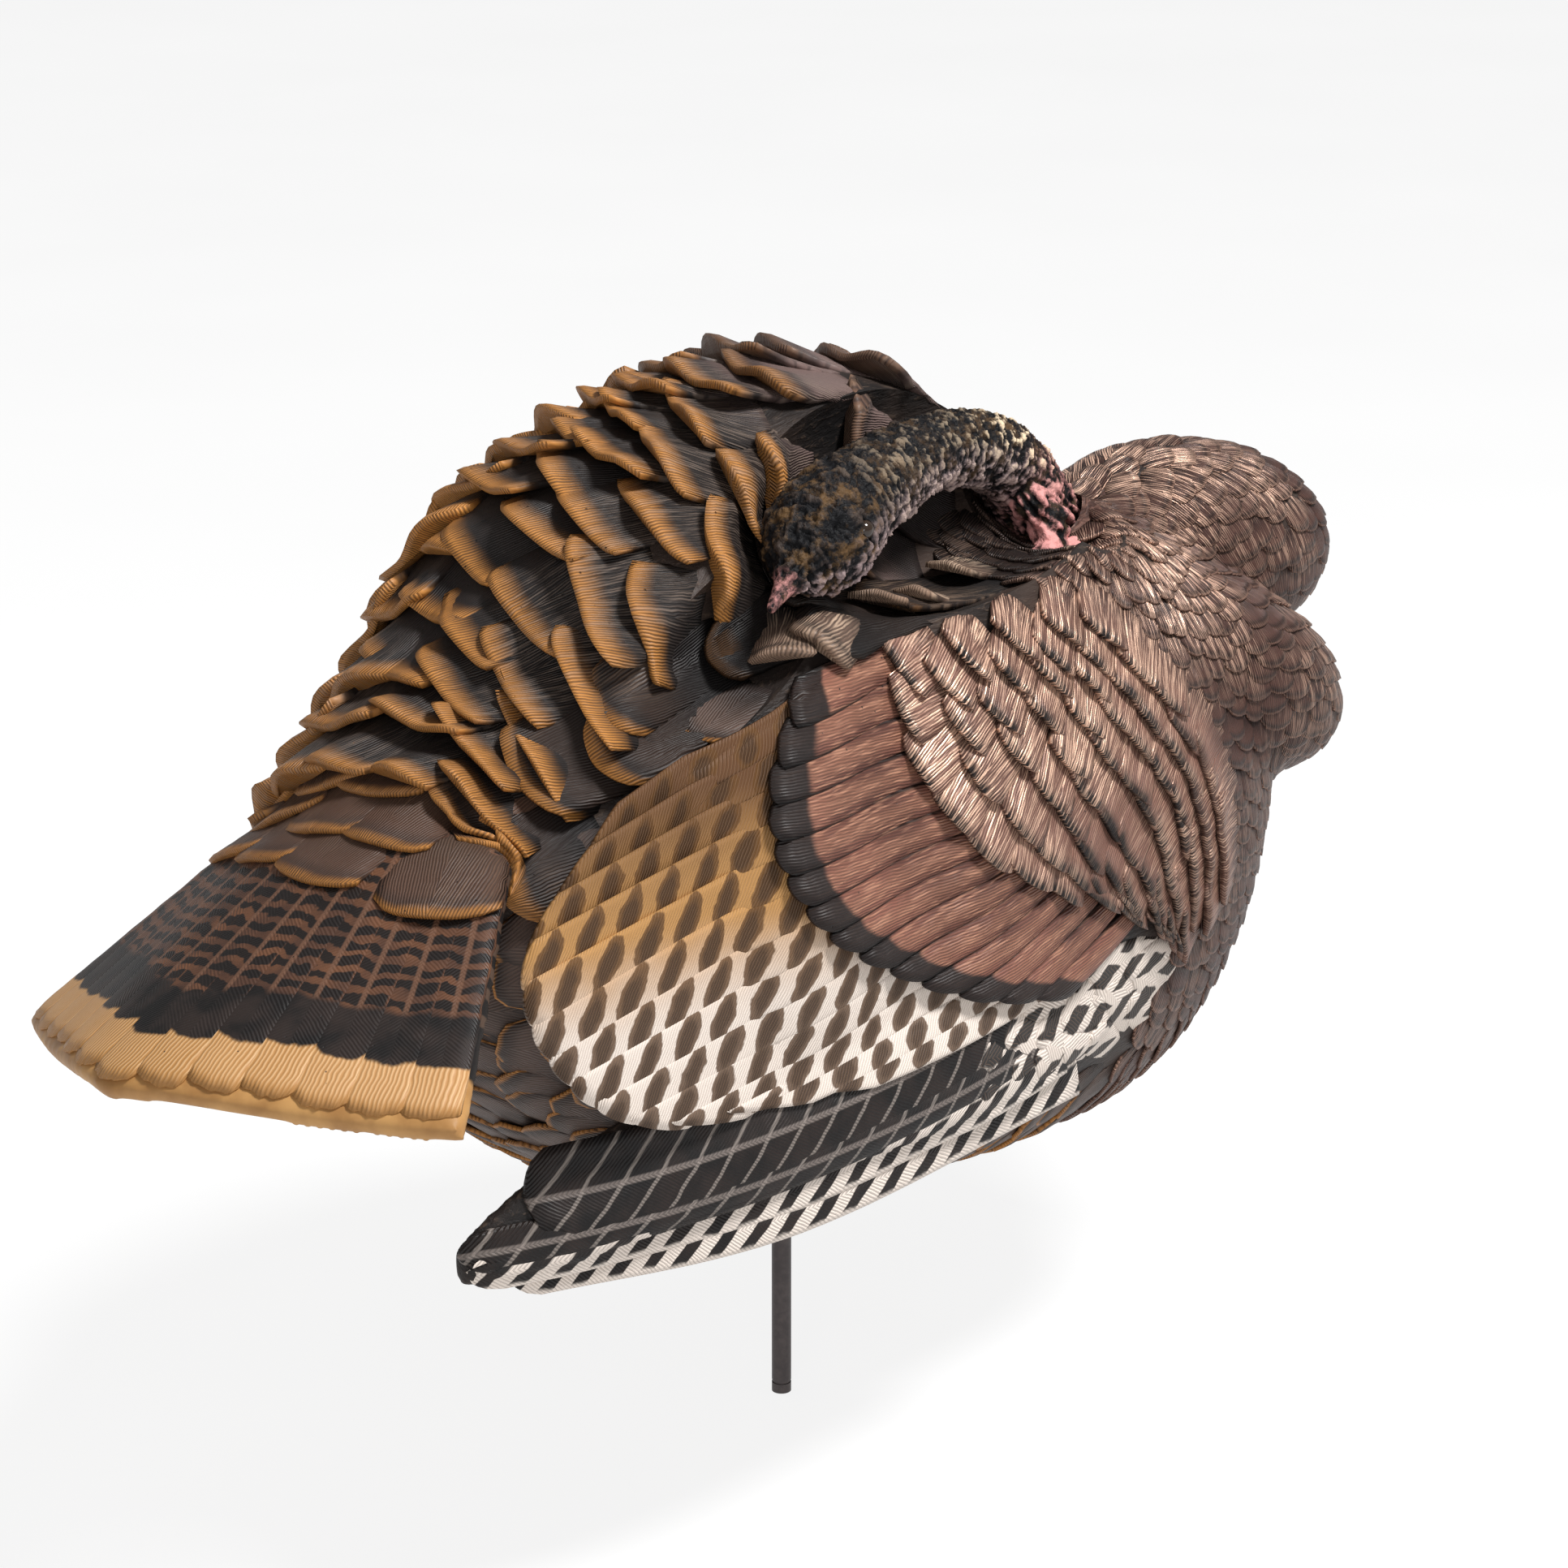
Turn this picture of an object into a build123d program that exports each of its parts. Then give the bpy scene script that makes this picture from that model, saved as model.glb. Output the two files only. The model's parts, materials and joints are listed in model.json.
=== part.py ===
"""Preening hen turkey decoy on a ground stake.

A hollow moulded body with a plug-in tail fan, two plug-in wing tips and a pull-off neck and head.
The body slides on to a round steel stake. A collar clamped to the stake carries a thrust washer,
the washer carries the flanged bush in the belly, and a peg on the collar limits how far the body
swings in the wind.

Frame: millimetres, +X to the breast, +Y to the bird's left, +Z up. The origin is on the stake's
axis at ground level. The head is turned back over the right shoulder, so it faces -X.
"""

import os
from math import cos, pi, radians, sin, tan

from build123d import *

os.makedirs("parts", exist_ok=True)

# ---- driving dimensions -------------------------------------------------------------------------
ROD_RADIUS = 4.0              # 8 mm stake
ROD_POINT_Z = -190.0          # point of the stake, below ground
ROD_POINT_LENGTH = 22.0
ROD_TOP_Z = 285.0
RUNNING_GAP = 0.06            # radial clearance of the stake in its bushes
SEAT_GAP = 0.05               # clearance between pieces fixed to each other
SKIN_GAP = 0.3                # clearance between moulded pieces

WALL = 5.5                    # moulded wall of the body
FLANGE_FACE_Z = 112.0         # top of the flange's recess in the belly
FLANGE_THICKNESS = 4.0
FLANGE_RADIUS = 20.0
FLANGE_SCREW_CIRCLE = 16.0
WASHER_THICKNESS = 2.5
WASHER_RADIUS = 8.0
COLLAR_RADIUS = 13.0
COLLAR_HEIGHT = 12.5
PEG_CIRCLE = 10.5             # radius at which the limiter peg stands
PEG_RADIUS = 1.75
SWIVEL_LIMIT = 45.0           # degrees each way
SLEEVE_OUTER = 10.0
SLEEVE_INNER = 7.0
SLEEVE_TOP_Z = 325.0
GUIDE_BOTTOM_Z = 245.0
GUIDE_END_Z = 319.0           # blind end of the guide, above the stake at the collar's lowest setting
BOSS_RADIUS = 26.0
BOSS_TOP_Z = 150.0

NECK_BASE = Vector(139, -12, 341)
NECK_AXIS = Vector(-0.62, -0.25, 0.745).normalized()   # the head pulls off this way
POST_SIDE = 14.0
POST_DEPTH = 40.0             # length of the post below the neck's base
POST_HEIGHT = 26.0            # length of the post inside the neck
SOCKET_WALL = 3.0

TAIL_PIVOT = Vector(-108, 5, 363)   # the fan's feathers point away from here
TAIL_DROOP = 29.0             # degrees below level
TAIL_YAW = 3.5                # degrees to the bird's right
TAIL_ROLL = 7.0               # degrees, right half up
TAIL_THICKNESS = 9.0
TAIL_HALF_ANGLE = 29.0
TAIL_TIP = 266.0
TAIL_CORNER = 254.0
TAIL_MID = 255.0              # reach halfway between the tip and a corner
TAIL_SHOULDER = 134.0         # where the fan narrows to its tongue
TONGUE_HALF_WIDTH = 32.0
TONGUE_END = 84.0
ROOF_SLOPE = 19.0             # degrees that each half of the fan falls away from its ridge
ROOF_RADIUS = 130.0

# Body sections from rump to breast: place along X, half width, lowest, widest and highest level,
# and how far the crown leans to the left.
STATIONS = [
    (-226, 38, 258, 272, 288, 0),
    (-206, 58, 222, 258, 306, 2),
    (-186, 78, 194, 248, 321, 4),
    (-162, 90, 168, 238, 338, 6),
    (-130, 106, 142, 230, 371, 9),
    (-80, 116, 122, 221, 408, 13),
    (-20, 120, 111, 217, 423, 15),
    (40, 119, 102, 217, 421, 12),
    (95, 114, 97, 222, 396, 6),
    (145, 107, 101, 232, 362, 0),
    (186, 93, 126, 244, 342, -4),
    (218, 70, 166, 258, 326, -6),
    (244, 42, 216, 268, 306, -8),
]
SECTION_POINTS = 18
FULLNESS = 2.35               # superellipse exponent of a section

# Wing bulges and wing tips: centre, half height and half thickness along each. The right wing is
# relaxed and hangs; the left one is folded close.
WING_STOPS = {
    "right": [
        ((166, -84, 238), 22, 12),
        ((138, -94, 242), 52, 20),
        ((90, -101, 253), 74, 25),
        ((35, -104, 266), 85, 26),
        ((-25, -103, 272), 84, 24),
        ((-95, -98, 266), 74, 20),
        ((-160, -91, 256), 56, 15),
        ((-200, -87, 250), 42, 10),
        ((-218, -85, 250), 28, 5),
    ],
    "left": [
        ((166, 84, 238), 22, 12),
        ((138, 94, 242), 52, 20),
        ((90, 101, 250), 70, 24),
        ((35, 104, 260), 78, 25),
        ((-25, 103, 258), 76, 23),
        ((-95, 96, 246), 62, 18),
        ((-160, 84, 232), 40, 12),
        ((-196, 74, 226), 22, 6),
    ],
}
BLADE_STOPS = {
    "right": [
        ((72, -106, 193), 20, 7),
        ((20, -113, 189), 27, 8.5),
        ((-60, -116, 189), 27, 8),
        ((-120, -110, 185), 26, 7),
        ((-170, -99, 177), 23, 6.5),
        ((-208, -86, 166), 17, 5.5),
        ((-238, -77, 155), 7, 4),
    ],
    "left": [
        ((72, 106, 200), 18, 7),
        ((20, 112, 200), 22, 8),
        ((-60, 112, 205), 22, 7.5),
        ((-120, 102, 207), 20, 6.5),
        ((-170, 88, 206), 17, 6),
        ((-208, 76, 203), 13, 5),
        ((-236, 68, 200), 6, 3.5),
    ],
}
WING_LEAN = 10.0              # degrees that the top of each leans towards the back
BLADE_LEAN = 14.0
DOWEL_SPOTS = {"right": (52, -106.5, 192.5), "left": (52, 107.5, 200)}
DOWEL_RADIUS = 3.0
DOWEL_LENGTH = 32.0


# ---- helpers ------------------------------------------------------------------------------------
def station_at(x):
    """The body section's numbers at any place along X, by straight-line blending."""
    for a, b in zip(STATIONS, STATIONS[1:]):
        if x <= b[0]:
            share = (x - a[0]) / (b[0] - a[0])
            return [p + share * (q - p) for p, q in zip(a, b)]
    return list(STATIONS[-1])


def section_points(station, inset=0.0):
    """Points round one body section, in the YZ plane's own coordinates."""
    _, half_width, low, middle, high, lean = station
    points = []
    for i in range(SECTION_POINTS):
        angle = 2 * pi * i / SECTION_POINTS
        c, s = cos(angle), sin(angle)
        across = (half_width - inset) * (1 if c >= 0 else -1) * abs(c) ** (2 / FULLNESS)
        reach = (high - middle if s > 0 else middle - low) - inset
        up = reach * (1 if s >= 0 else -1) * abs(s) ** (2 / FULLNESS)
        shift = lean * (up / reach) ** 2 if s > 0 else 0.0
        points.append((across + shift, middle + up))
    return points


def section_loft(stations, inset=0.0):
    """A solid through body sections, closed flat at both ends."""
    with BuildPart() as lofted:
        for station in stations:
            with BuildSketch(Plane.YZ.offset(station[0])):
                with BuildLine():
                    Spline(section_points(station, inset), periodic=True)
                make_face()
        loft()
    return lofted.part


def spheroid(centre, long_radius, round_radius, axis):
    """A rugby-ball solid with its long axis along the given direction."""
    with BuildPart() as ball:
        with BuildSketch(Plane.XZ):
            Ellipse(round_radius, long_radius)
            with Locations((-round_radius, 0)):
                Rectangle(2 * round_radius, 2.2 * long_radius, mode=Mode.SUBTRACT)
        revolve(axis=Axis.Z)
    return ball.part.moved(Plane(origin=centre, z_dir=axis).location)


def path_loft(stops, grow=0.0):
    """A solid through round sections: each stop is a point and a radius, and sections face along."""
    points = [Vector(*p) for p, _ in stops]
    with BuildPart() as lofted:
        for i, (_, radius) in enumerate(stops):
            ahead = points[min(i + 1, len(points) - 1)] - points[max(i - 1, 0)]
            with BuildSketch(Plane(origin=points[i], x_dir=(0, 0, 1), z_dir=ahead)):
                Circle(radius + grow)
        loft()
    return lofted.part


def flank_loft(stops, lean, grow=0.0):
    """A flat loft down one flank, leaning inwards at the top."""
    with BuildPart() as lofted:
        for centre, tall, thick in stops:
            turn = lean if centre[1] > 0 else -lean
            with BuildSketch(Plane(origin=centre, x_dir=(0, 1, 0), z_dir=(1, 0, 0))):
                Ellipse(thick + grow, tall + grow, rotation=turn)
        loft()
    return lofted.part


def rod(start, direction, radius, length):
    """A plain cylinder from a start point along a direction."""
    with BuildPart() as cylinder:
        with BuildSketch(Plane(origin=start, z_dir=direction)):
            Circle(radius)
        extrude(amount=length)
    return cylinder.part


def finish(built, name):
    """Label a piece and write it out."""
    built.part.label = name
    export_step(built.part, f"parts/{name}.step")


# ---- tail fan -----------------------------------------------------------------------------------
def fan_turn(vector):
    """Turn a vector of the level fan to the fan's roll, droop and heading."""
    rolled = vector.rotate(Axis.X, TAIL_ROLL)
    return rolled.rotate(Axis.Y, TAIL_DROOP).rotate(Axis.Z, 180 + TAIL_YAW)


TAIL_ALONG = fan_turn(Vector(1, 0, 0))
TAIL_UP = fan_turn(Vector(0, 0, 1))
tail_plane = Plane(origin=TAIL_PIVOT, x_dir=TAIL_ALONG, z_dir=TAIL_UP)


def fan_point(reach, angle):
    """A point of the fan's plane at a distance and an angle from the fan's pivot."""
    return (reach * cos(radians(angle)), reach * sin(radians(angle)))


def fan_form(grow=0.0):
    """The fan is a shallow roof: an arched band along the ridge, cut to the fan's outline."""
    half, slope = 170.0, tan(radians(ROOF_SLOPE))
    lift = ROOF_RADIUS * (1 / cos(radians(ROOF_SLOPE)) - 1)
    top, bottom = lift + grow, lift - TAIL_THICKNESS - grow
    across = Plane(origin=TAIL_PIVOT, x_dir=tail_plane.y_dir, z_dir=TAIL_ALONG)
    with BuildPart() as fan:
        with BuildSketch(across):
            with BuildLine():
                upper = FilletPolyline(
                    (-half, top - half * slope), (0, top), (half, top - half * slope),
                    radius=ROOF_RADIUS,
                )
                lower = FilletPolyline(
                    (-half, bottom - half * slope), (0, bottom), (half, bottom - half * slope),
                    radius=ROOF_RADIUS - TAIL_THICKNESS,
                )
                Line(upper @ 0, lower @ 0)
                Line(upper @ 1, lower @ 1)
            make_face()
        extrude(amount=TAIL_TIP + 20)
        with BuildSketch(tail_plane.offset(-150)):
            with BuildLine():
                a, w = TAIL_HALF_ANGLE, TONGUE_HALF_WIDTH
                corners = [fan_point(TAIL_CORNER, -a), fan_point(TAIL_CORNER, a)]
                mids = [fan_point(TAIL_MID, -a / 2), fan_point(TAIL_MID, a / 2)]
                ThreePointArc(corners[0], mids[0], (TAIL_TIP, 0))
                ThreePointArc((TAIL_TIP, 0), mids[1], corners[1])
                Polyline(
                    corners[1], fan_point(TAIL_SHOULDER, a), (TAIL_SHOULDER - 14, w),
                    (TONGUE_END, w), (TONGUE_END, -w), (TAIL_SHOULDER - 14, -w),
                    fan_point(TAIL_SHOULDER, -a), corners[0],
                )
            make_face()
            if grow:
                offset(amount=grow)
        extrude(amount=220, mode=Mode.INTERSECT)
    return fan.part


fan_solid = fan_form()

# ---- neck and head ------------------------------------------------------------------------------
NECK_STOPS = [
    ((160, -4, 316), 22),
    ((139, -12, 341), 20),
    ((117, -20, 366), 17),
    ((90, -29, 386), 15.5),
    ((55, -37, 396), 15),
    ((20, -46, 398), 15.5),
    ((-14, -57, 395), 18),
    ((-40, -66, 390), 21),
    ((-56, -72, 384), 20),
    ((-66, -76, 379), 14),
    ((-71, -78, 375), 8),
]
BILL_STOPS = [
    ((-60, -74, 383), 10),
    ((-74, -79, 378), 7),
    ((-91, -85, 369), 2.5),
]
neck_form = path_loft(NECK_STOPS)
bill_form = path_loft(BILL_STOPS)
NECK_FOOT_RADIUS = 20.0
post_plane = Plane(origin=NECK_BASE, x_dir=(0, 1, 0), z_dir=NECK_AXIS)

# ---- outside of the body ------------------------------------------------------------------------
SADDLE = ((20, -66, 398), 132, 52, (0.98, 0.2, 0))             # hollow under the neck and head
CROOK = ((108, -50, 390), 46, 44, (0, 0, 1))                # deepest part, under the neck's bend
FURROW = ((-104, -80, 358), 84, 24, (0.88, 0.05, 0.46))     # groove between back and right wing
HOLLOWS = (SADDLE, CROOK, FURROW)


def grown(form, grow):
    """A listed spheroid made larger, or smaller, all round."""
    centre, long_radius, round_radius, axis = form
    return spheroid(centre, long_radius + grow, round_radius + grow, axis)


LOBES = [  # the swellings of the crop: right, left and middle
    ((190, -60, 284), 68, 38, (0.86, -0.2, -0.48)),
    ((188, 60, 284), 62, 38, (0.86, 0.2, -0.48)),
    ((222, -14, 322), 74, 44, (1, -0.2, -0.12)),
]

with BuildPart() as body_outside:
    add(section_loft(STATIONS))
    for lobe in LOBES:
        add(grown(lobe, 0))
    add(spheroid((152, -12, 312), 36, 34, (0, 0, 1)))
    for stops in WING_STOPS.values():
        add(flank_loft(stops, WING_LEAN))
    for form in HOLLOWS:
        add(grown(form, 0), mode=Mode.SUBTRACT)
    # round seat for the neck's foot, open upwards, and room for the neck above it
    add(rod(NECK_BASE, NECK_AXIS, NECK_FOOT_RADIUS + 0.8, 60), mode=Mode.SUBTRACT)
    add(path_loft(NECK_STOPS[2:6], grow=1.5), mode=Mode.SUBTRACT)

# The inside follows the outside one wall in. It keeps clear of the hollows and leaves material
# round everything that plugs in.
CAVITY_X = (-172, -130, -80, -20, 40, 95, 145, 186, 212)
socket_outer = POST_SIDE + 2 * SOCKET_WALL
socket_depth = POST_DEPTH + 3.0
with BuildPart() as cavity:
    add(section_loft([station_at(x) for x in CAVITY_X], inset=WALL))
    for lobe in LOBES:
        add(grown(lobe, -WALL))
    for form in HOLLOWS:
        add(grown(form, WALL), mode=Mode.SUBTRACT)
    with BuildSketch(Plane.XY.offset(80)):
        Circle(BOSS_RADIUS)
    extrude(amount=BOSS_TOP_Z - 80, mode=Mode.SUBTRACT)
    add(fan_form(grow=5.0), mode=Mode.SUBTRACT)
    for side, stops in BLADE_STOPS.items():
        add(flank_loft(stops, BLADE_LEAN, grow=4.0), mode=Mode.SUBTRACT)
        add(rod(DOWEL_SPOTS[side], (1, 0, 0), DOWEL_RADIUS + 6, DOWEL_LENGTH + 6), mode=Mode.SUBTRACT)
    with BuildSketch(post_plane.offset(-socket_depth - 4)):
        RectangleRounded(socket_outer + 10, socket_outer + 10, 6)
    extrude(amount=socket_depth - 2, mode=Mode.SUBTRACT)
    add(rod(NECK_BASE - NECK_AXIS * 6, NECK_AXIS, NECK_FOOT_RADIUS + 7, 60), mode=Mode.SUBTRACT)

# ---- body shell ---------------------------------------------------------------------------------
tail_screw_spots = [(120.0, -20.0), (120.0, 20.0)]
TAIL_SCREW_LENGTH, TAIL_SCREW_RADIUS, TAIL_SCREW_HEAD = 20.0, 1.8, 3.2
VENT_X, VENT_RADIUS, VENT_HEAD_RADIUS = 100.0, 5.0, 8.0
VENT_Z = 97.0

with BuildPart() as body_shell:
    add(body_outside.part)
    add(cavity.part, mode=Mode.SUBTRACT)
    # flange recess, with room round it for the collar's knob, and the sleeve's bore
    with BuildSketch(Plane.XY.offset(FLANGE_FACE_Z)):
        Circle(FLANGE_RADIUS + SKIN_GAP)
    extrude(amount=-40, mode=Mode.SUBTRACT)
    with BuildSketch(Plane.XY.offset(FLANGE_FACE_Z - FLANGE_THICKNESS - 1)):
        Circle(FLANGE_RADIUS + 9)
    extrude(amount=-30, mode=Mode.SUBTRACT)
    with BuildSketch(Plane.XY.offset(FLANGE_FACE_Z - 1)):
        Circle(SLEEVE_OUTER + SEAT_GAP)
    extrude(amount=BOSS_TOP_Z - FLANGE_FACE_Z + 10, mode=Mode.SUBTRACT)
    with BuildSketch(Plane.XY.offset(FLANGE_FACE_Z - 1)):
        with PolarLocations(FLANGE_SCREW_CIRCLE, 3, start_angle=60):
            Circle(1.6 + SEAT_GAP)
    extrude(amount=19, mode=Mode.SUBTRACT)
    # sockets for the tail, wing tips and neck
    add(fan_form(grow=SKIN_GAP), mode=Mode.SUBTRACT)
    for side, stops in BLADE_STOPS.items():
        add(flank_loft(stops, BLADE_LEAN, grow=SKIN_GAP), mode=Mode.SUBTRACT)
        dowel_hole = rod(DOWEL_SPOTS[side], (1, 0, 0), DOWEL_RADIUS + SEAT_GAP, DOWEL_LENGTH + 1)
        add(dowel_hole, mode=Mode.SUBTRACT)
    with BuildSketch(post_plane.offset(-socket_depth)):
        RectangleRounded(socket_outer + 2 * SEAT_GAP, socket_outer + 2 * SEAT_GAP, 3)
    extrude(amount=socket_depth + 1, mode=Mode.SUBTRACT)
    # deep counterbores for the tail's screws, open under the rump
    for along, across_fan in tail_screw_spots:
        spot = tail_plane.from_local_coords(Vector(along, across_fan, 0))
        add(rod(spot, -TAIL_UP, TAIL_SCREW_RADIUS + SEAT_GAP, TAIL_SCREW_LENGTH), mode=Mode.SUBTRACT)
        add(rod(spot - TAIL_UP * (TAIL_SCREW_LENGTH - 2.5), -TAIL_UP, TAIL_SCREW_HEAD + 0.4, 90),
            mode=Mode.SUBTRACT)
    # drain hole with a seat for its plug
    with BuildSketch(Plane.XY.offset(VENT_Z - 10)):
        with Locations((VENT_X, 0)):
            Circle(VENT_RADIUS + SEAT_GAP)
    extrude(amount=40, mode=Mode.SUBTRACT)
    with BuildSketch(Plane.XY.offset(VENT_Z - 10)):
        with Locations((VENT_X, 0)):
            Circle(VENT_HEAD_RADIUS + SKIN_GAP)
    extrude(amount=12.5, mode=Mode.SUBTRACT)
finish(body_shell, "body_shell")

# ---- pieces fixed to the body -------------------------------------------------------------------
with BuildPart() as tail_fan:
    add(fan_solid)
    for along, across_fan in tail_screw_spots:
        spot = tail_plane.from_local_coords(Vector(along, across_fan, -2.0))
        add(rod(spot, -TAIL_UP, TAIL_SCREW_RADIUS + SEAT_GAP, 20), mode=Mode.SUBTRACT)
finish(tail_fan, "tail_fan")

for side, stops in BLADE_STOPS.items():
    with BuildPart() as wing_tip:
        add(flank_loft(stops, BLADE_LEAN))
        x, y, z = DOWEL_SPOTS[side]
        add(rod((x - 1, y, z), (1, 0, 0), DOWEL_RADIUS + SEAT_GAP, 40), mode=Mode.SUBTRACT)
    finish(wing_tip, f"{side}_wing_tip")

with BuildPart() as wing_dowels:
    for spot in DOWEL_SPOTS.values():
        with BuildSketch(Plane(origin=spot, z_dir=(1, 0, 0))):
            Circle(DOWEL_RADIUS)
        extrude(amount=DOWEL_LENGTH)
finish(wing_dowels, "wing_dowels")

with BuildPart() as tail_screws:
    for along, across_fan in tail_screw_spots:
        spot = tail_plane.from_local_coords(Vector(along, across_fan, -3.0))
        add(rod(spot, -TAIL_UP, TAIL_SCREW_RADIUS, TAIL_SCREW_LENGTH - 5.5))
        add(rod(spot - TAIL_UP * (TAIL_SCREW_LENGTH - 5.5), -TAIL_UP, TAIL_SCREW_HEAD, 2.4))
finish(tail_screws, "tail_screws")

with BuildPart() as neck_socket:
    with BuildSketch(post_plane.offset(-socket_depth)):
        RectangleRounded(socket_outer, socket_outer, 3)
    extrude(amount=socket_depth)
    with BuildSketch(post_plane.offset(-POST_DEPTH - 0.5)):
        RectangleRounded(POST_SIDE + 2 * SKIN_GAP, POST_SIDE + 2 * SKIN_GAP, 2.2)
    extrude(amount=POST_DEPTH + 10, mode=Mode.SUBTRACT)
finish(neck_socket, "neck_socket")

with BuildPart() as stake_sleeve:
    with BuildSketch(Plane.XY.offset(FLANGE_FACE_Z + SEAT_GAP)):
        Circle(SLEEVE_OUTER)
        Circle(SLEEVE_INNER, mode=Mode.SUBTRACT)
    extrude(amount=SLEEVE_TOP_Z - FLANGE_FACE_Z - SEAT_GAP)
finish(stake_sleeve, "stake_sleeve")

with BuildPart() as sleeve_cap:
    # guide bush for the stake's top end, closed above it
    with BuildSketch(Plane.XY.offset(GUIDE_BOTTOM_Z)):
        Circle(SLEEVE_INNER - SEAT_GAP)
    extrude(amount=SLEEVE_TOP_Z - GUIDE_BOTTOM_Z)
    with BuildSketch(Plane.XY.offset(SLEEVE_TOP_Z)):
        Circle(SLEEVE_OUTER)
    extrude(amount=5)
    with BuildSketch(Plane.XY.offset(GUIDE_BOTTOM_Z)):
        Circle(ROD_RADIUS + RUNNING_GAP)
    extrude(amount=GUIDE_END_Z - GUIDE_BOTTOM_Z, mode=Mode.SUBTRACT)
    fillet(sleeve_cap.edges().group_by(Axis.Z)[-1], 1.5)
finish(sleeve_cap, "sleeve_cap")

flange_bottom = FLANGE_FACE_Z - FLANGE_THICKNESS
with BuildPart() as belly_flange:
    with BuildSketch(Plane.XY.offset(flange_bottom)):
        Circle(FLANGE_RADIUS)
    extrude(amount=FLANGE_THICKNESS)
    with BuildSketch(Plane.XY.offset(FLANGE_FACE_Z)):
        Circle(SLEEVE_INNER - SEAT_GAP)
    extrude(amount=18)
    with BuildSketch(Plane.XY.offset(flange_bottom)):
        Circle(ROD_RADIUS + RUNNING_GAP)
    extrude(amount=FLANGE_THICKNESS + 18, mode=Mode.SUBTRACT)
    # arc slot that the collar's peg runs in
    with BuildSketch(Plane.XY.offset(flange_bottom)):
        reach = SWIVEL_LIMIT + 2.5
        arc = CenterArc((0, 0), PEG_CIRCLE, 180 - reach, 2 * reach)
        SlotArc(arc, 2 * (PEG_RADIUS + 0.45))
    extrude(amount=FLANGE_THICKNESS, mode=Mode.SUBTRACT)
    with BuildSketch(Plane.XY.offset(flange_bottom)):
        with PolarLocations(FLANGE_SCREW_CIRCLE, 3, start_angle=60):
            Circle(1.6 + SEAT_GAP)
    extrude(amount=FLANGE_THICKNESS, mode=Mode.SUBTRACT)
    with BuildSketch(Plane.XY.offset(flange_bottom)):
        with PolarLocations(FLANGE_SCREW_CIRCLE, 3, start_angle=60):
            Circle(2.8 + SEAT_GAP)
    extrude(amount=2.0, mode=Mode.SUBTRACT)
finish(belly_flange, "belly_flange")

with BuildPart() as flange_screws:
    with BuildSketch(Plane.XY.offset(flange_bottom + 0.1)):
        with PolarLocations(FLANGE_SCREW_CIRCLE, 3, start_angle=60):
            Circle(2.8)
    extrude(amount=1.8)
    with BuildSketch(Plane.XY.offset(flange_bottom + 1.9)):
        with PolarLocations(FLANGE_SCREW_CIRCLE, 3, start_angle=60):
            Circle(1.6)
    extrude(amount=18)
finish(flange_screws, "flange_screws")

with BuildPart() as drain_plug:
    with BuildSketch(Plane.XY.offset(VENT_Z + 0.3)):
        with Locations((VENT_X, 0)):
            Circle(VENT_HEAD_RADIUS)
    extrude(amount=2.1)
    with BuildSketch(Plane.XY.offset(VENT_Z + 2.4)):
        with Locations((VENT_X, 0)):
            Circle(VENT_RADIUS)
    extrude(amount=9)
    fillet(drain_plug.edges().group_by(Axis.Z)[0], 0.8)
finish(drain_plug, "drain_plug")

# ---- head, neck and their fittings --------------------------------------------------------------
EYE_RADIUS = 3.8
EYE_SPOTS = {"left_eye": Vector(-43.9, -86.4, 391), "right_eye": Vector(-56.1, -53.6, 391)}
screw_level = post_plane.from_local_coords(Vector(0, 0, 17))
screw_dir = -post_plane.x_dir
screw_tip = screw_level - screw_dir * 5.0
SCREW_LENGTH = 13.0

with BuildPart() as head_neck:
    add(neck_form)
    add(bill_form)
    with BuildSketch(post_plane.offset(SKIN_GAP)):
        Rectangle(90, 90)
    extrude(amount=-60, mode=Mode.SUBTRACT)
    with BuildSketch(post_plane.offset(-30)):
        RectangleRounded(POST_SIDE + 2 * SEAT_GAP, POST_SIDE + 2 * SEAT_GAP, 2)
    extrude(amount=30 + POST_HEIGHT + 0.5, mode=Mode.SUBTRACT)
    add(rod(screw_tip, screw_dir, 1.5 + SEAT_GAP, 30), mode=Mode.SUBTRACT)
    add(rod(screw_tip + screw_dir * SCREW_LENGTH, screw_dir, 3.0, 30), mode=Mode.SUBTRACT)
    for centre in EYE_SPOTS.values():
        with Locations(centre):
            Sphere(EYE_RADIUS + SEAT_GAP, mode=Mode.SUBTRACT)
finish(head_neck, "head_neck")

with BuildPart() as neck_post:
    with BuildSketch(post_plane.offset(-POST_DEPTH)):
        RectangleRounded(POST_SIDE, POST_SIDE, 2)
    extrude(amount=POST_DEPTH + POST_HEIGHT)
    add(rod(screw_tip - screw_dir * 0.5, screw_dir, 1.5 + SEAT_GAP, 30), mode=Mode.SUBTRACT)
finish(neck_post, "neck_post")

with BuildPart() as post_screw:
    add(rod(screw_tip, screw_dir, 1.5, SCREW_LENGTH + 0.1))
    add(rod(screw_tip + screw_dir * (SCREW_LENGTH + 0.1), screw_dir, 2.8, 2.0))
finish(post_screw, "post_screw")

for name, centre in EYE_SPOTS.items():
    with BuildPart() as eye:
        with Locations(centre):
            Sphere(EYE_RADIUS)
    finish(eye, name)

# ---- stake, collar and washer -------------------------------------------------------------------
collar_top = flange_bottom - WASHER_THICKNESS
collar_bottom = collar_top - COLLAR_HEIGHT
SCREW_Z = collar_bottom + 5.5

with BuildPart() as thrust_washer:
    with BuildSketch(Plane.XY.offset(collar_top)):
        Circle(WASHER_RADIUS)
        Circle(ROD_RADIUS + RUNNING_GAP, mode=Mode.SUBTRACT)
    extrude(amount=WASHER_THICKNESS)
finish(thrust_washer, "thrust_washer")

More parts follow.
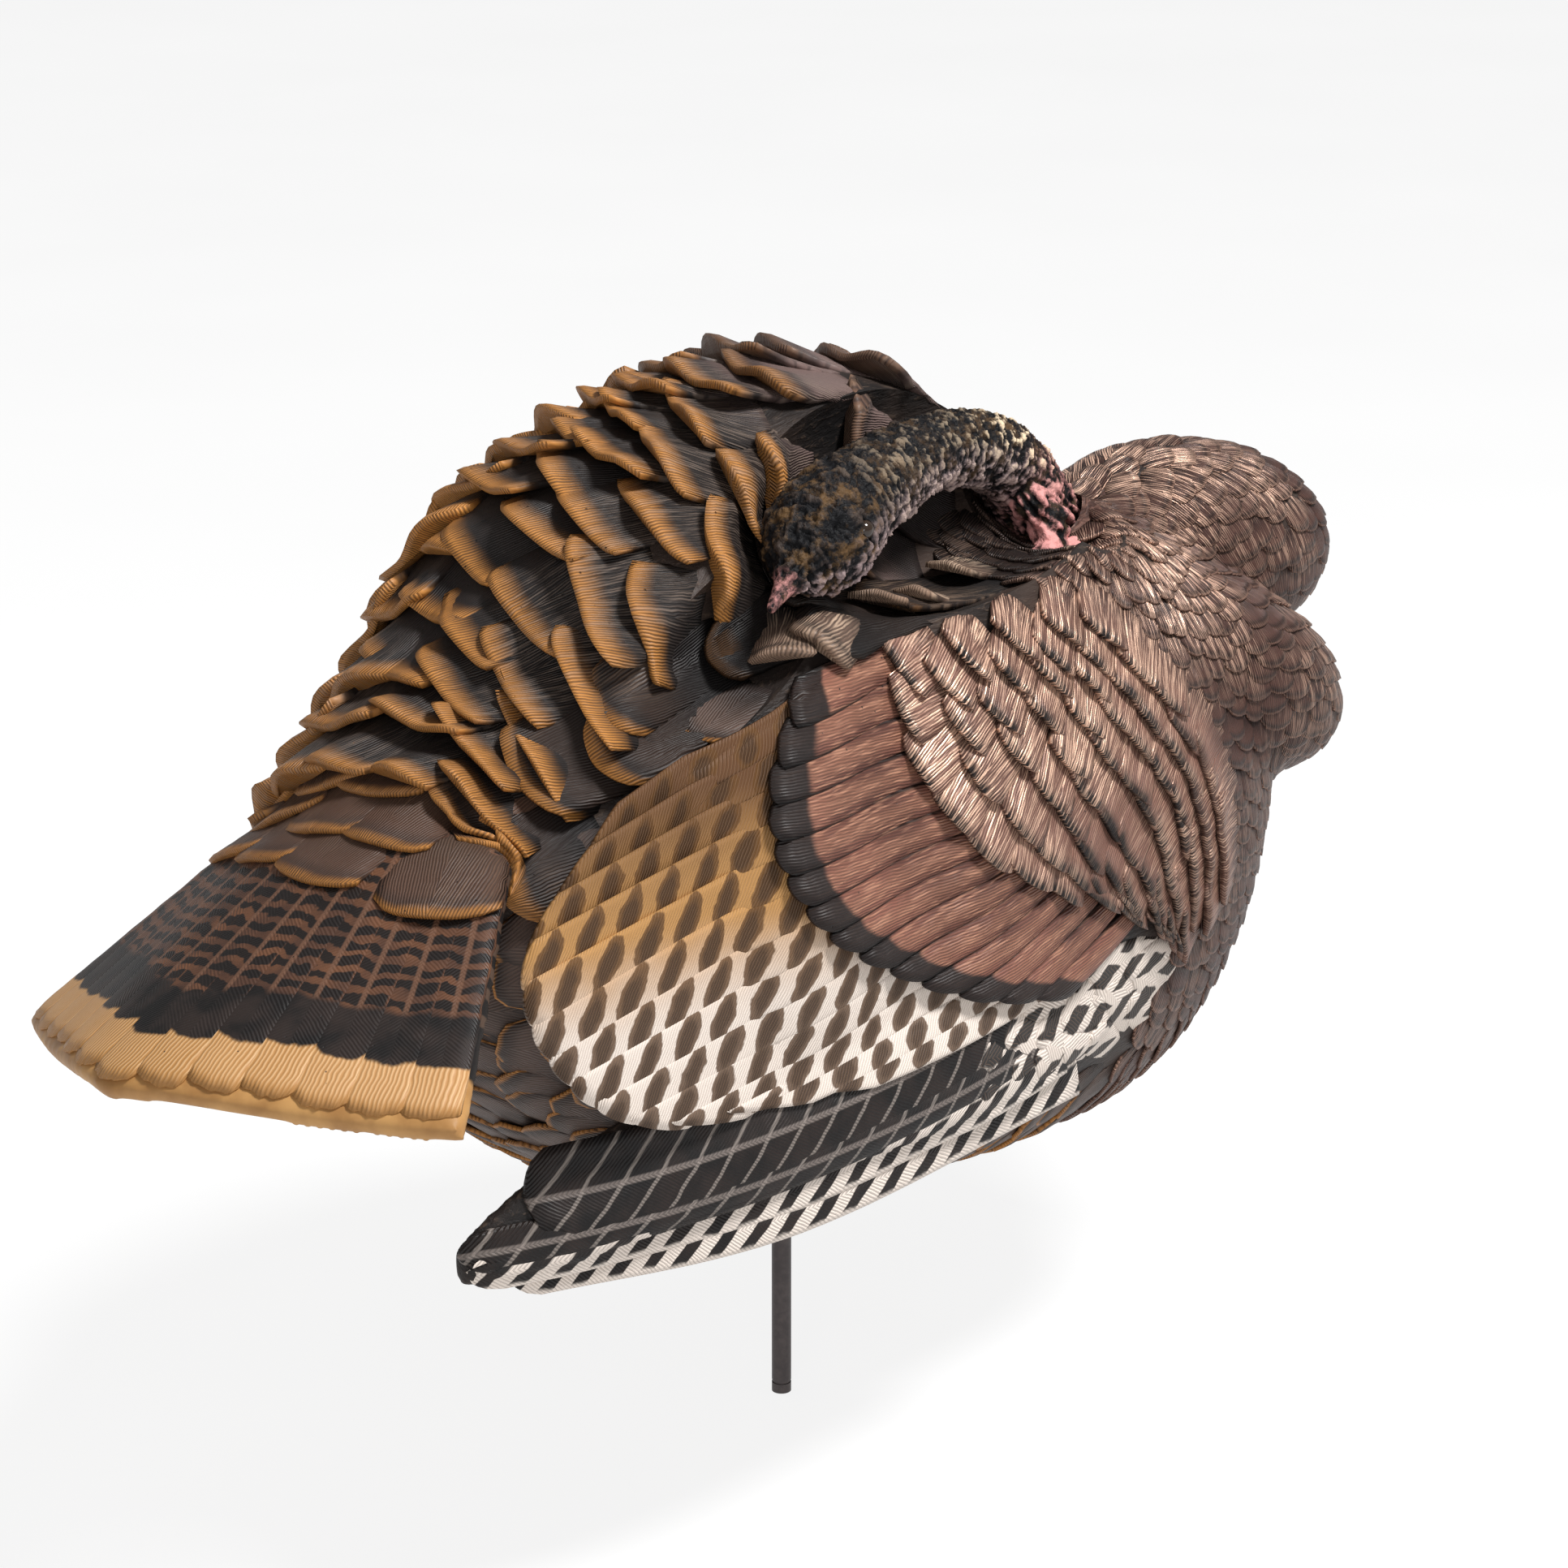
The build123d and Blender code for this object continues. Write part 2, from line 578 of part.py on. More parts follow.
with BuildPart() as stake_collar:
    with BuildSketch(Plane.XY.offset(collar_bottom)):
        Circle(COLLAR_RADIUS)
    extrude(amount=COLLAR_HEIGHT)
    chamfer(stake_collar.edges().group_by(Axis.Z)[0], 1.0)
    with BuildSketch(Plane.XY.offset(collar_bottom)):
        Circle(ROD_RADIUS + RUNNING_GAP)
    extrude(amount=COLLAR_HEIGHT, mode=Mode.SUBTRACT)
    with BuildSketch(Plane.XY.offset(collar_top)):
        with Locations((-PEG_CIRCLE, 0)):
            Circle(PEG_RADIUS + SEAT_GAP)
    extrude(amount=-8, mode=Mode.SUBTRACT)
    with BuildSketch(Plane.YZ):
        with Locations((0, SCREW_Z)):
            Circle(2.0 + RUNNING_GAP)
    extrude(amount=20, mode=Mode.SUBTRACT)
finish(stake_collar, "stake_collar")

with BuildPart() as limiter_peg:
    with BuildSketch(Plane.XY.offset(collar_top - 7.9)):
        with Locations((-PEG_CIRCLE, 0)):
            Circle(PEG_RADIUS)
    extrude(amount=13)
    chamfer(limiter_peg.edges().group_by(Axis.Z)[-1], 0.4)
finish(limiter_peg, "limiter_peg")

with BuildPart() as collar_screw:
    with BuildSketch(Plane.YZ.offset(ROD_RADIUS + 0.15)):
        with Locations((0, SCREW_Z)):
            Circle(2.0)
    extrude(amount=COLLAR_RADIUS + 1.0 - ROD_RADIUS - 0.15)
    with BuildSketch(Plane.YZ.offset(COLLAR_RADIUS + 1.0)):
        with Locations((0, SCREW_Z)):
            Circle(5.0)
            with PolarLocations(5.2, 8):
                Circle(1.1, mode=Mode.SUBTRACT)
    extrude(amount=8)
finish(collar_screw, "collar_screw")

GROOVE_Z, GROOVE_WIDTH, GROOVE_DEPTH = 4.0, 1.2, 0.35   # ring that marks how deep to push
with BuildPart() as stake_rod:
    with BuildSketch(Plane.XZ):
        with BuildLine():
            Polyline(
                (0, ROD_POINT_Z),
                (ROD_RADIUS, ROD_POINT_Z + ROD_POINT_LENGTH),
                (ROD_RADIUS, GROOVE_Z),
                (ROD_RADIUS - GROOVE_DEPTH, GROOVE_Z),
                (ROD_RADIUS - GROOVE_DEPTH, GROOVE_Z + GROOVE_WIDTH),
                (ROD_RADIUS, GROOVE_Z + GROOVE_WIDTH),
                (ROD_RADIUS, ROD_TOP_Z - 1),
                (ROD_RADIUS - 1, ROD_TOP_Z),
                (0, ROD_TOP_Z),
                close=True,
            )
        make_face()
    revolve(axis=Axis.Z)
finish(stake_rod, "stake_rod")
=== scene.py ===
"""Looks for the preening turkey decoy: feathers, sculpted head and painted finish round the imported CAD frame."""

import json
import math
import random

import bmesh
import bpy
import numpy as np
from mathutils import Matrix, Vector, noise
from mathutils.bvhtree import BVHTree
from mathutils.kdtree import KDTree


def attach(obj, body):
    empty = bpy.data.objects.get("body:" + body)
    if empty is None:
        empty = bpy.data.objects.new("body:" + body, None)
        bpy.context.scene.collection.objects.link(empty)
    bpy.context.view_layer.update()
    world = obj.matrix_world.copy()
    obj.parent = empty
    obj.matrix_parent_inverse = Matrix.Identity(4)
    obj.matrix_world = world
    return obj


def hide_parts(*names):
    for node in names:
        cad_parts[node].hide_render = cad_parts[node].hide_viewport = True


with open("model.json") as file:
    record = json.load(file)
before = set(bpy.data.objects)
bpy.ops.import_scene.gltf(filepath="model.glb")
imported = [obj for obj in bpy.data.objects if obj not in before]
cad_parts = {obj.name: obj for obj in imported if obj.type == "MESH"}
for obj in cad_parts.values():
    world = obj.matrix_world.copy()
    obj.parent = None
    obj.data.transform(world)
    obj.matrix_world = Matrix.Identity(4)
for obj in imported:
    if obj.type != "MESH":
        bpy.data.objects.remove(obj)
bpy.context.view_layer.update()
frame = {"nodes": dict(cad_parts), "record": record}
rng = random.Random(11)
MM = 0.001  # feathers are laid out in millimetres and scaled to metres when a mesh is made
NECK_BASE = np.array((139.0, -12.0, 341.0))  # where the neck stands on the body, in millimetres


# ---------------------------------------------------------------- node materials


def connect(tree, socket, value):
    """Links a Value or a node's output to an input, or sets a number, a vector or a colour on it."""
    if isinstance(value, Value):
        value = value.socket
    if isinstance(value, bpy.types.NodeSocket):
        tree.links.new(value, socket)
    elif socket.type == "RGBA":
        socket.default_value = (*value, 1.0)
    else:
        socket.default_value = value


class Value:
    """A node's output that can be calculated with."""

    def __init__(self, tree, socket):
        self.tree = tree
        self.socket = socket

    def math(self, operation, *others, clamp=False):
        return self.calculate(operation, self, *others, clamp=clamp)

    def calculate(self, operation, *values, clamp=False):
        made = self.tree.nodes.new("ShaderNodeMath")
        made.operation = operation
        made.use_clamp = clamp
        for socket, value in zip(made.inputs, values):
            connect(self.tree, socket, value)
        return Value(self.tree, made.outputs[0])

    def __add__(self, other):
        return self.math("ADD", other)

    def __sub__(self, other):
        return self.math("SUBTRACT", other)

    def __rsub__(self, other):
        return self.calculate("SUBTRACT", other, self)

    def __mul__(self, other):
        return self.math("MULTIPLY", other)

    def __abs__(self):
        return self.math("ABSOLUTE")

    def clipped(self, factor):
        """The product with factor, held between 0 and 1."""
        return self.math("MULTIPLY", factor, clamp=True)

    def wave(self, period):
        """A sine that repeats every period."""
        return (self * (math.tau / period)).math("SINE")

    def step(self, start, end):
        """0 before start, 1 after end, smooth between them; start may be above end."""
        made = self.tree.nodes.new("ShaderNodeMapRange")
        made.interpolation_type = "SMOOTHSTEP"
        rising = start < end
        limits = {"From Min": min(start, end), "From Max": max(start, end),
                  "To Min": 0.0 if rising else 1.0, "To Max": 1.0 if rising else 0.0}
        for name, value in {"Value": self, **limits}.items():
            connect(self.tree, made.inputs[name], value)
        return Value(self.tree, made.outputs["Result"])


class Paint:
    """A node material built up coat by coat."""

    def __init__(self, name):
        self.material = bpy.data.materials.new(name)
        self.material.use_nodes = True
        self.tree = self.material.node_tree
        self.tree.nodes.clear()
        self.here = Value(self.tree, self.tree.nodes.new("ShaderNodeTexCoord").outputs["Object"])
        self.colour = None

    def node(self, kind, **inputs):
        made = self.tree.nodes.new(kind)
        for name, value in inputs.items():
            connect(self.tree, made.inputs[name.replace("_", " ")], value)
        return made

    def output(self, node, name=0):
        return Value(self.tree, node.outputs[name])

    def mix(self, share, a, b):
        made = self.tree.nodes.new("ShaderNodeMix")
        made.data_type = "RGBA"
        for index, value in ((0, share), (6, a), (7, b)):
            connect(self.tree, made.inputs[index], value)
        return self.output(made, 2)

    def base(self, share, a, b):
        """The first coat, a mix of two colours."""
        self.colour = self.mix(share, a, b)

    def cover(self, share, over):
        """Paints a colour over the coats so far, by a share from 0 to 1."""
        self.colour = self.mix(share, self.colour, over)

    def noise(self, scale, detail=3.0, vector=None, roughness=0.5, distortion=0.0):
        return self.output(self.node("ShaderNodeTexNoise", Vector=vector or self.here, Scale=scale, Detail=detail,
                                     Roughness=roughness, Distortion=distortion), "Fac")

    def parts(self, vector):
        """The three parts of a vector."""
        split = self.node("ShaderNodeSeparateXYZ", Vector=vector)
        return [self.output(split, k) for k in range(3)]

    def attribute(self, name):
        """The three parts of a vector attribute stored on the mesh."""
        made = self.tree.nodes.new("ShaderNodeAttribute")
        made.attribute_name = name
        return self.parts(made.outputs["Vector"])

    def vector(self, x, y, z):
        return self.output(self.node("ShaderNodeCombineXYZ", X=x, Y=y, Z=z))

    def distance(self, centre):
        """How far a point is from centre, in metres."""
        made = self.tree.nodes.new("ShaderNodeVectorMath")
        made.operation = "DISTANCE"
        connect(self.tree, made.inputs[0], self.here)
        connect(self.tree, made.inputs[1], tuple(centre))
        return self.output(made, "Value")

    def pinholes(self, scale=150.0, size=0.085):
        """1 in the tiny air-bubble holes of the moulded foam skin, 0 elsewhere."""
        cells = self.output(self.node("ShaderNodeTexVoronoi", Vector=self.here, Scale=scale), "Distance")
        return cells.step(size, size * 0.45) * self.noise(22.0, 2.0).step(0.42, 0.56)

    def bump(self, height, strength, distance):
        return self.output(self.node("ShaderNodeBump", Strength=strength, Distance=distance, Height=height))

    def finish(self, roughness, normal, metallic=0.0, specular=0.22):
        """The material, once its coats are on."""
        made = self.node("ShaderNodeBsdfPrincipled", Base_Color=self.colour, Roughness=roughness, Metallic=metallic,
                         Specular_IOR_Level=specular, Normal=normal)
        self.node("ShaderNodeOutputMaterial", Surface=made.outputs[0])
        return self.material


# linear colours of the paint
BLACK = (0.009, 0.008, 0.008)
SOOT = (0.024, 0.017, 0.015)
UMBER = (0.065, 0.04, 0.028)
ORANGE = (0.52, 0.22, 0.052)
GOLD = (0.36, 0.175, 0.055)
BUFF = (0.42, 0.22, 0.085)
CREAM = (0.58, 0.37, 0.19)
WHITE = (0.72, 0.63, 0.56)
PINK = (0.64, 0.29, 0.27)
# the colour of painted shade, laid into the hollows under the neck and behind the bill
SHADE = (0.006, 0.005, 0.005)

# deep hollows under the neck and behind the bill, which the paint fills with painted shade: centre, fully dark radius
# and outer radius, in metres
SHADE_UNDER_NECK = ((0.065, -0.034, 0.355), 0.036, 0.062)
SHADE_BEHIND_BILL = ((-0.075, -0.078, 0.352), 0.025, 0.068)

# every feather stores two vectors for its paint:
# "vane" is the share of its length from the root, the side from -1 to 1 and a random number of its own;
# "place" is millimetres along it, millimetres across it and millimetres from its tip


def barb_lines(paint, along, across, shaft_share, fan_share, period):
    """Ridges of the barbs: shaft_share of the phase runs along the feather, fan_share across it."""
    phase = along * (shaft_share / period) + across * (fan_share / period)
    return (phase + paint.noise(90.0, 2.0) * 1.6).wave(1.0) * 0.5 + 0.5


def feather_paint(name, root, body, edge, glint, *, edge_width=4.0, dark_width=8.0, edge_gain=1.0, dark_gain=0.6,
                  shaft_share=0.1, fan_share=1.0, period=1.15, glint_gain=0.25, roughness=0.5, bump=0.55,
                  metallic=0.0, shine_metal=0.0, shine_from=0.4, shine_level=None, tip_start=0.45, mark_only=False,
                  fade=None, plain=None, hollows=()):
    """Paint of one kind of contour feather: root and body colour, dark band, dry-brushed edge, glints painted as
    highlights and painted shade in the hollows.

    fade gives where along the bird the edge is full and where it is gone, and plain the colour of the feathers
    there; mark_only keeps the edge to the middle of the tip; shine_level is the height over which the painted glints
    (painted highlights) set in, stronger higher up where the light falls; hollows are the places painted in shade.
    """
    paint = Paint(name)
    share, side, lot = paint.attribute("vane")
    along, across, rim = paint.attribute("place")
    forward, _, level = paint.parts(paint.here)
    away = abs(across)
    barbs = barb_lines(paint, along, away, shaft_share, fan_share, period)
    streak_at = paint.vector((along * shaft_share + away * fan_share) * 0.9, along * 0.06, lot * 40.0)
    streak = paint.noise(1.0, 3.0, streak_at, 0.6)
    broad = paint.noise(14.0, 3.0)
    fine = paint.noise(60.0, 4.0)
    rough_rim = rim + (fine - 0.5) * 5.0
    outer = share.step(tip_start - 0.2, tip_start + 0.2)
    paint.base(share.step(0.1, 0.75), root, body)
    paint.cover(broad.step(0.35, 0.7) * 0.35, BLACK)
    if plain:
        paint.cover(forward.step(fade[1], fade[0]) * 0.85, plain)
    paint.cover(rough_rim.step(edge_width + dark_width, edge_width) * outer * dark_gain, BLACK)
    brushed = barbs * 0.45 + streak * 0.9
    edging = (rough_rim.step(edge_width, edge_width * 0.1) * outer * brushed).clipped(edge_gain)
    lip = rim.step(min(2.6, edge_width * 0.5), 0.6) * 0.75
    edging = edging.math("MAXIMUM", lip * fine.step(0.3, 0.6))
    if mark_only:
        edging = edging * abs(side + (fine - 0.5) * 0.5).step(0.75, 0.55)
    if fade:
        edging = edging * (forward.step(*fade) * 0.85 + 0.15)
    paint.cover(edging, edge)
    # painted glints: bronze flecks of the metallic paint, painted lighter as highlights; with shine_level they grow
    # stronger higher up, where the light falls
    painted_glint = (streak + barbs * 0.12).step(0.5, 0.72) * broad.step(shine_from, shine_from + 0.2)
    if shine_level:
        painted_glint = painted_glint * (level.step(*shine_level) * 0.8 + 0.2)
    paint.cover(painted_glint.clipped(glint_gain), glint)
    paint.cover(barbs.step(0.28, 0.0) * 0.45, BLACK)
    pits = paint.pinholes()
    paint.cover(pits * 0.8, BLACK)
    # painted shade: the hollows are painted near-black and lose their painted glints
    for centre, dark_radius, outer_radius in hollows:
        painted_shade = paint.distance(centre).step(outer_radius, dark_radius) * 0.88
        paint.cover(painted_shade, SHADE)
        painted_glint = painted_glint * (1.0 - painted_shade)
    height = barbs * 0.6 + streak * 0.8 - pits * 1.6
    metal = painted_glint.math("MULTIPLY_ADD", metallic, shine_metal, clamp=True)
    return paint.finish(fine * 0.25 + (roughness - 0.12), paint.bump(height, bump, 0.0009), metal)


def tail_paint():
    """Barred vanes, a wide black band and a buff tip with cream lines."""
    paint = Paint("tail_paint")
    _, side, _ = paint.attribute("vane")
    along, across, from_tip = paint.attribute("place")
    away = abs(across)
    fine = paint.noise(70.0, 4.0)
    broad = paint.noise(18.0, 3.0)
    barbs = barb_lines(paint, along, away, 0.75, -0.65, 1.25)
    tip_barbs = barb_lines(paint, along, across, 0.06, 1.0, 1.7)
    wobble = (paint.noise(120.0, 3.0) - 0.5) * 9.0
    black = (along + away * 0.22 + wobble).wave(7.3).step(-0.45, 0.1)
    lateral = (abs(side) + fine * 0.12).step(0.9, 0.78)
    paint.base(fine.step(0.35, 0.7), (0.06, 0.029, 0.019), (0.12, 0.052, 0.027))
    paint.cover(black * lateral * 0.95, BLACK)
    paint.cover(away.step(1.4, 0.6) * 0.8, (0.13, 0.065, 0.04))
    tip = from_tip + (fine - 0.5) * 6.0
    paint.cover(tip.step(45.0, 41.0), paint.mix(fine.step(0.35, 0.65), BLACK, SOOT))
    buff = paint.mix((broad + fine * 0.4).step(0.5, 0.95), GOLD, BUFF)
    buff = paint.mix(tip_barbs.step(0.35, 0.95) * 0.75, buff, CREAM)
    buff = paint.mix(from_tip.step(7.0, 0.0), buff, GOLD)
    on_tip = tip.step(22.0, 20.0)
    paint.cover(on_tip, buff)
    pits = paint.pinholes(170.0, 0.08)
    paint.cover(pits * 0.8, BLACK)
    ridges = barbs + on_tip * (tip_barbs - barbs)
    return paint.finish(0.48, paint.bump(ridges + fine * 0.5 - pits * 1.5, 0.35, 0.0007))


def tail_core_paint():
    """The fan's thick edge and underside: tan near the tip, barred dark brown elsewhere."""
    paint = Paint("tail_core_paint")
    tip_radius = TAIL_CORNER * MM
    fine = paint.noise(60.0, 4.0)
    reach = paint.distance(TAIL_PIVOT * MM) + (fine - 0.5) * 0.012
    paint.base(reach.wave(0.0105).step(-0.3, 0.2), UMBER, BLACK)
    paint.cover(reach.step(tip_radius - 0.046, tip_radius - 0.04), BLACK)
    tan = paint.mix(fine.step(0.35, 0.7), (0.3, 0.15, 0.05), (0.44, 0.24, 0.085))
    paint.cover(reach.step(tip_radius - 0.022, tip_radius - 0.019), tan)
    return paint.finish(0.5, paint.bump(fine, 0.3, 0.001))


def secondary_paint():
    """White vanes with rounded brown spots, washed golden brown towards the top."""
    paint = Paint("secondary_paint")
    _, side, lot = paint.attribute("vane")
    along, across, _ = paint.attribute("place")
    fine = paint.noise(80.0, 4.0)
    broad = paint.noise(20.0, 3.0)
    barbs = barb_lines(paint, along, across, 0.8, -0.75, 1.15)
    wobble = (paint.noise(45.0, 3.0) - 0.5) * 7.0
    beat = (along + across * -0.75 + wobble + lot * 19.0).wave(18.0)
    ragged = (paint.noise(170.0, 4.0) - 0.5) * 1.3
    spot = beat + side * side * -1.5 + ragged
    level = paint.parts(paint.here)[2] + (broad - 0.5) * 0.03
    ground = paint.mix(level.step(0.228, 0.275), WHITE, (0.42, 0.22, 0.075))
    ground = paint.mix(level.step(0.27, 0.315), ground, (0.1, 0.046, 0.02))
    mark = paint.mix(level.step(0.2, 0.27), (0.08, 0.04, 0.018), (0.1, 0.045, 0.014))
    paint.base(spot.step(-0.6, -0.3) * 0.92, ground, mark)
    paint.cover(spot.step(-0.1, 0.7) * 0.7, (0.03, 0.015, 0.008))
    paint.cover(barbs.step(0.3, 0.0) * 0.35, (0.2, 0.12, 0.07))
    return paint.finish(0.5, paint.bump(barbs + fine * 0.6, 0.5, 0.0008))


def primary_paint():
    """Black vanes with thin pale bars above, white with black blocks below, and grey-white shafts."""
    paint = Paint("primary_paint")
    _, side, lot = paint.attribute("vane")
    along, across, white = paint.attribute("place")  # the last part is 1 on a white vane and 0 on a black one
    away = abs(across)
    fine = paint.noise(80.0, 4.0)
    barbs = barb_lines(paint, along, away, 0.6, 0.8, 1.2)
    wobble = (paint.noise(60.0, 3.0) - 0.5) * 4.5
    beat = (along + across * -1.1 + wobble + lot * 15.0).wave(16.0)
    dark = paint.mix(fine.step(0.3, 0.7), BLACK, SOOT)
    upper = paint.mix(beat.step(0.86, 0.97) * 0.4, dark, (0.42, 0.36, 0.32))
    edge = abs(side + (fine - 0.5) * 0.6)
    lower = paint.mix(beat.step(-0.05, 0.25) * edge.step(0.9, 0.65), WHITE, dark)
    paint.base(white, upper, lower)
    paint.cover(away.step(1.5, 0.7) * white.step(0.9, 0.1) * 0.6, (0.24, 0.2, 0.18))
    paint.cover(barbs.step(0.3, 0.0) * 0.4, BLACK)
    return paint.finish(0.46, paint.bump(barbs + fine * 0.6, 0.5, 0.0008))


def covert_paint():
    """Reddish-brown greater coverts with a black band at the tip, painted highlights along each arched middle and
    painted glint streaks.
    """
    paint = Paint("covert_paint")
    _, side, lot = paint.attribute("vane")
    along, across, from_tip = paint.attribute("place")
    fine = paint.noise(80.0, 4.0)
    broad = paint.noise(20.0, 3.0)
    barbs = barb_lines(paint, along, across, 0.12, 1.0, 1.1)
    streak = paint.noise(1.0, 3.0, paint.vector(across, along * 0.08, lot * 40.0))
    paint.base(broad.step(0.35, 0.65), (0.085, 0.033, 0.024), (0.2, 0.08, 0.056))
    # painted highlight along the arched middle of each feather
    paint.cover(abs(side).step(0.7, 0.1) * 0.45, (0.28, 0.13, 0.08))
    # painted glints: lighter streaks standing in for highlights on the barbs
    paint.cover(streak.step(0.48, 0.68) * 0.65, (0.42, 0.21, 0.135))
    tip = from_tip + (fine - 0.5) * 6.0
    paint.cover(tip.step(17.5, 14.0) * 0.95, BLACK)
    paint.cover(abs(side).step(0.76, 0.95) * 0.9, BLACK)
    paint.cover(barbs.step(0.3, 0.0) * 0.45, SOOT)
    pits = paint.pinholes(190.0, 0.11)
    paint.cover(pits * 0.85, BLACK)
    return paint.finish(0.45, paint.bump(barbs + streak * 0.6 - pits * 1.5, 0.5, 0.0008))


def leading_paint():
    """White leading coverts with rows of long slanted black marks that run on from feather to feather."""
    paint = Paint("leading_paint")
    along, across, _ = paint.attribute("place")
    fine = paint.noise(90.0, 4.0)
    barbs = barb_lines(paint, along, abs(across), 0.5, 0.7, 1.2)
    x, _, z = paint.parts(paint.here)
    wobble = (paint.noise(38.0, 3.0) - 0.5) * 0.012
    rows = (x * -0.55 + z * 0.83 + wobble) * (1 / 0.0115)
    beats = (x * 0.83 + z * 0.55 + wobble) * (1 / 0.024) + rows * 0.5
    # the marks spread until they meet towards the black primaries
    spread = (fine - 0.5) * 1.2 + x.step(0.03, -0.03) * 0.75
    mark = (rows.wave(1.0) + spread).step(-0.35, -0.05) * (beats.wave(1.0) + spread).step(-0.5, -0.2)
    paint.base(mark * 0.97, WHITE, BLACK)
    paint.cover(barbs.step(0.3, 0.0) * 0.4, (0.16, 0.1, 0.07))
    return paint.finish(0.5, paint.bump(barbs + fine * 0.6, 0.5, 0.0008))


def skin_paint(name):
    """The moulded body under the feathers: near-black brown with hair-like strokes, copper round the neck."""
    paint = Paint(name)
    stretched = paint.node("ShaderNodeMapping", Vector=paint.here, Scale=(0.25, 1.0, 1.0))
    hairs = paint.noise(420.0, 3.0, stretched.outputs[0], 0.6, 0.6)
    paint.base(paint.noise(16.0, 3.0).step(0.35, 0.7), BLACK, (0.045, 0.03, 0.024))
    paint.cover(hairs.step(0.55, 0.72) * 0.5, (0.11, 0.075, 0.055))
    copper = paint.mix(hairs.step(0.4, 0.65), (0.05, 0.025, 0.02), (0.16, 0.085, 0.065))
    paint.cover(paint.distance(NECK_BASE * MM).step(0.05, 0.035), copper)
    return paint.finish(0.55, paint.bump(hairs, 0.6, 0.0015))


def head_paint():
    """Scaly bare skin: blue-black with ochre and grey tufts, pink caruncles, dark grooves and cream painted highlights
    on the bend.

    The head stores "tint" (how pink and ochre it is, and how much cream painted highlight it gets) and "relief" (height
    and the lower side of the folds).
    """
    paint = Paint("head_paint")
    pink, ochre, pale = paint.attribute("tint")
    relief, lilac, _ = paint.attribute("relief")
    fine = paint.noise(300.0, 4.0, roughness=0.65)
    tufts = paint.noise(110.0, 4.0, roughness=0.7)
    raised = relief + (fine - 0.5) * 0.7
    paint.base(tufts.step(0.45, 0.7), (0.003, 0.003, 0.004), (0.017, 0.013, 0.012))
    paint.cover(raised.step(0.5, 0.85) * 0.4, (0.1, 0.07, 0.055))
    paint.cover(lilac.clipped(raised.step(0.42, 0.75)) * 0.85, (0.5, 0.37, 0.37))
    paint.cover(ochre.clipped(tufts.step(0.47, 0.66)) * 0.6, (0.17, 0.09, 0.03))
    # painted highlight: cream on the raised bumps where the tint's third part marks where the light falls
    paint.cover(pale.clipped(raised.step(0.55, 0.8)) * 0.95, (0.72, 0.56, 0.38))
    paint.cover(pink.clipped(raised.step(0.4, 0.72)), PINK)
    return paint.finish(0.55, paint.bump(fine + tufts * 0.8, 0.8, 0.0018), specular=0.15)


def plain_paint(name, colour, other, roughness, grain=220.0, strength=0.2, metallic=0.0):
    """Moulded plastic, rubber or metal with a fine grain and a slight change of tone."""
    paint = Paint(name)
    fine = paint.noise(grain, 4.0)
    broad = paint.noise(25.0, 2.0)
    paint.base((fine * 0.5 + broad * 0.5).step(0.35, 0.65), colour, other)
    return paint.finish(fine * 0.2 + (roughness - 0.1), paint.bump(fine, strength, 0.0005), metallic, 0.5)


# ---------------------------------------------------------------- meshes


def remeshed(draft, voxel, smoothing):
    """A mesh rebuilt on a voxel grid and smoothed; the draft is used up."""
    thing = bpy.data.objects.new("draft", draft)
    bpy.context.scene.collection.objects.link(thing)
    remesh = thing.modifiers.new("remesh", "REMESH")
    remesh.mode = "VOXEL"
    remesh.voxel_size = voxel
    smooth = thing.modifiers.new("smooth", "SMOOTH")
    smooth.factor = 0.5
    smooth.iterations = smoothing
    made = bpy.data.meshes.new_from_object(thing.evaluated_get(bpy.context.evaluated_depsgraph_get()))
    bpy.data.objects.remove(thing)
    bpy.data.meshes.remove(draft)
    return made


def joined(nodes):
    """The meshes of CAD nodes in one bmesh."""
    gathered = bmesh.new()
    for name in nodes:
        gathered.from_mesh(frame["nodes"][name].data)
    return gathered


def as_mesh(shape, name):
    """A mesh made from a bmesh, which is used up."""
    mesh = bpy.data.meshes.new(name)
    shape.to_mesh(mesh)
    shape.free()
    return mesh


def store(mesh, **attributes):
    """Keeps vectors on the mesh's points for its paint to read."""
    for name, values in attributes.items():
        stored = mesh.attributes.new(name, "FLOAT_VECTOR", "POINT")
        stored.data.foreach_set("vector", np.array(values, np.float32).ravel())


def add_piece(name, mesh, material, body, node=None):
    """Puts a mesh in the scene as a piece that rides on body and may stand for a CAD node."""
    mesh.name = name
    mesh.shade_smooth()
    mesh.materials.clear()
    mesh.materials.append(material)
    thing = bpy.data.objects.new(name, mesh)
    bpy.context.scene.collection.objects.link(thing)
    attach(thing, body)
    if node:
        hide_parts(node)


def tree_of(points):
    """A lookup tree of points."""
    tree = KDTree(len(points))
    for n, point in enumerate(points):
        tree.insert(Vector(point), n)
    tree.balance()
    return tree


def held(value, low=0.0, high=1.0):
    return min(max(value, low), high)


# ---------------------------------------------------------------- base surface

# the bird's spine, seen from the side
SPINE_X = (-330, -150, 0, 120, 235)
SPINE_Z = (240, 265, 270, 260, 280)
OUT_OF_REACH = 400.0  # starting distance of the rays that look for the skin


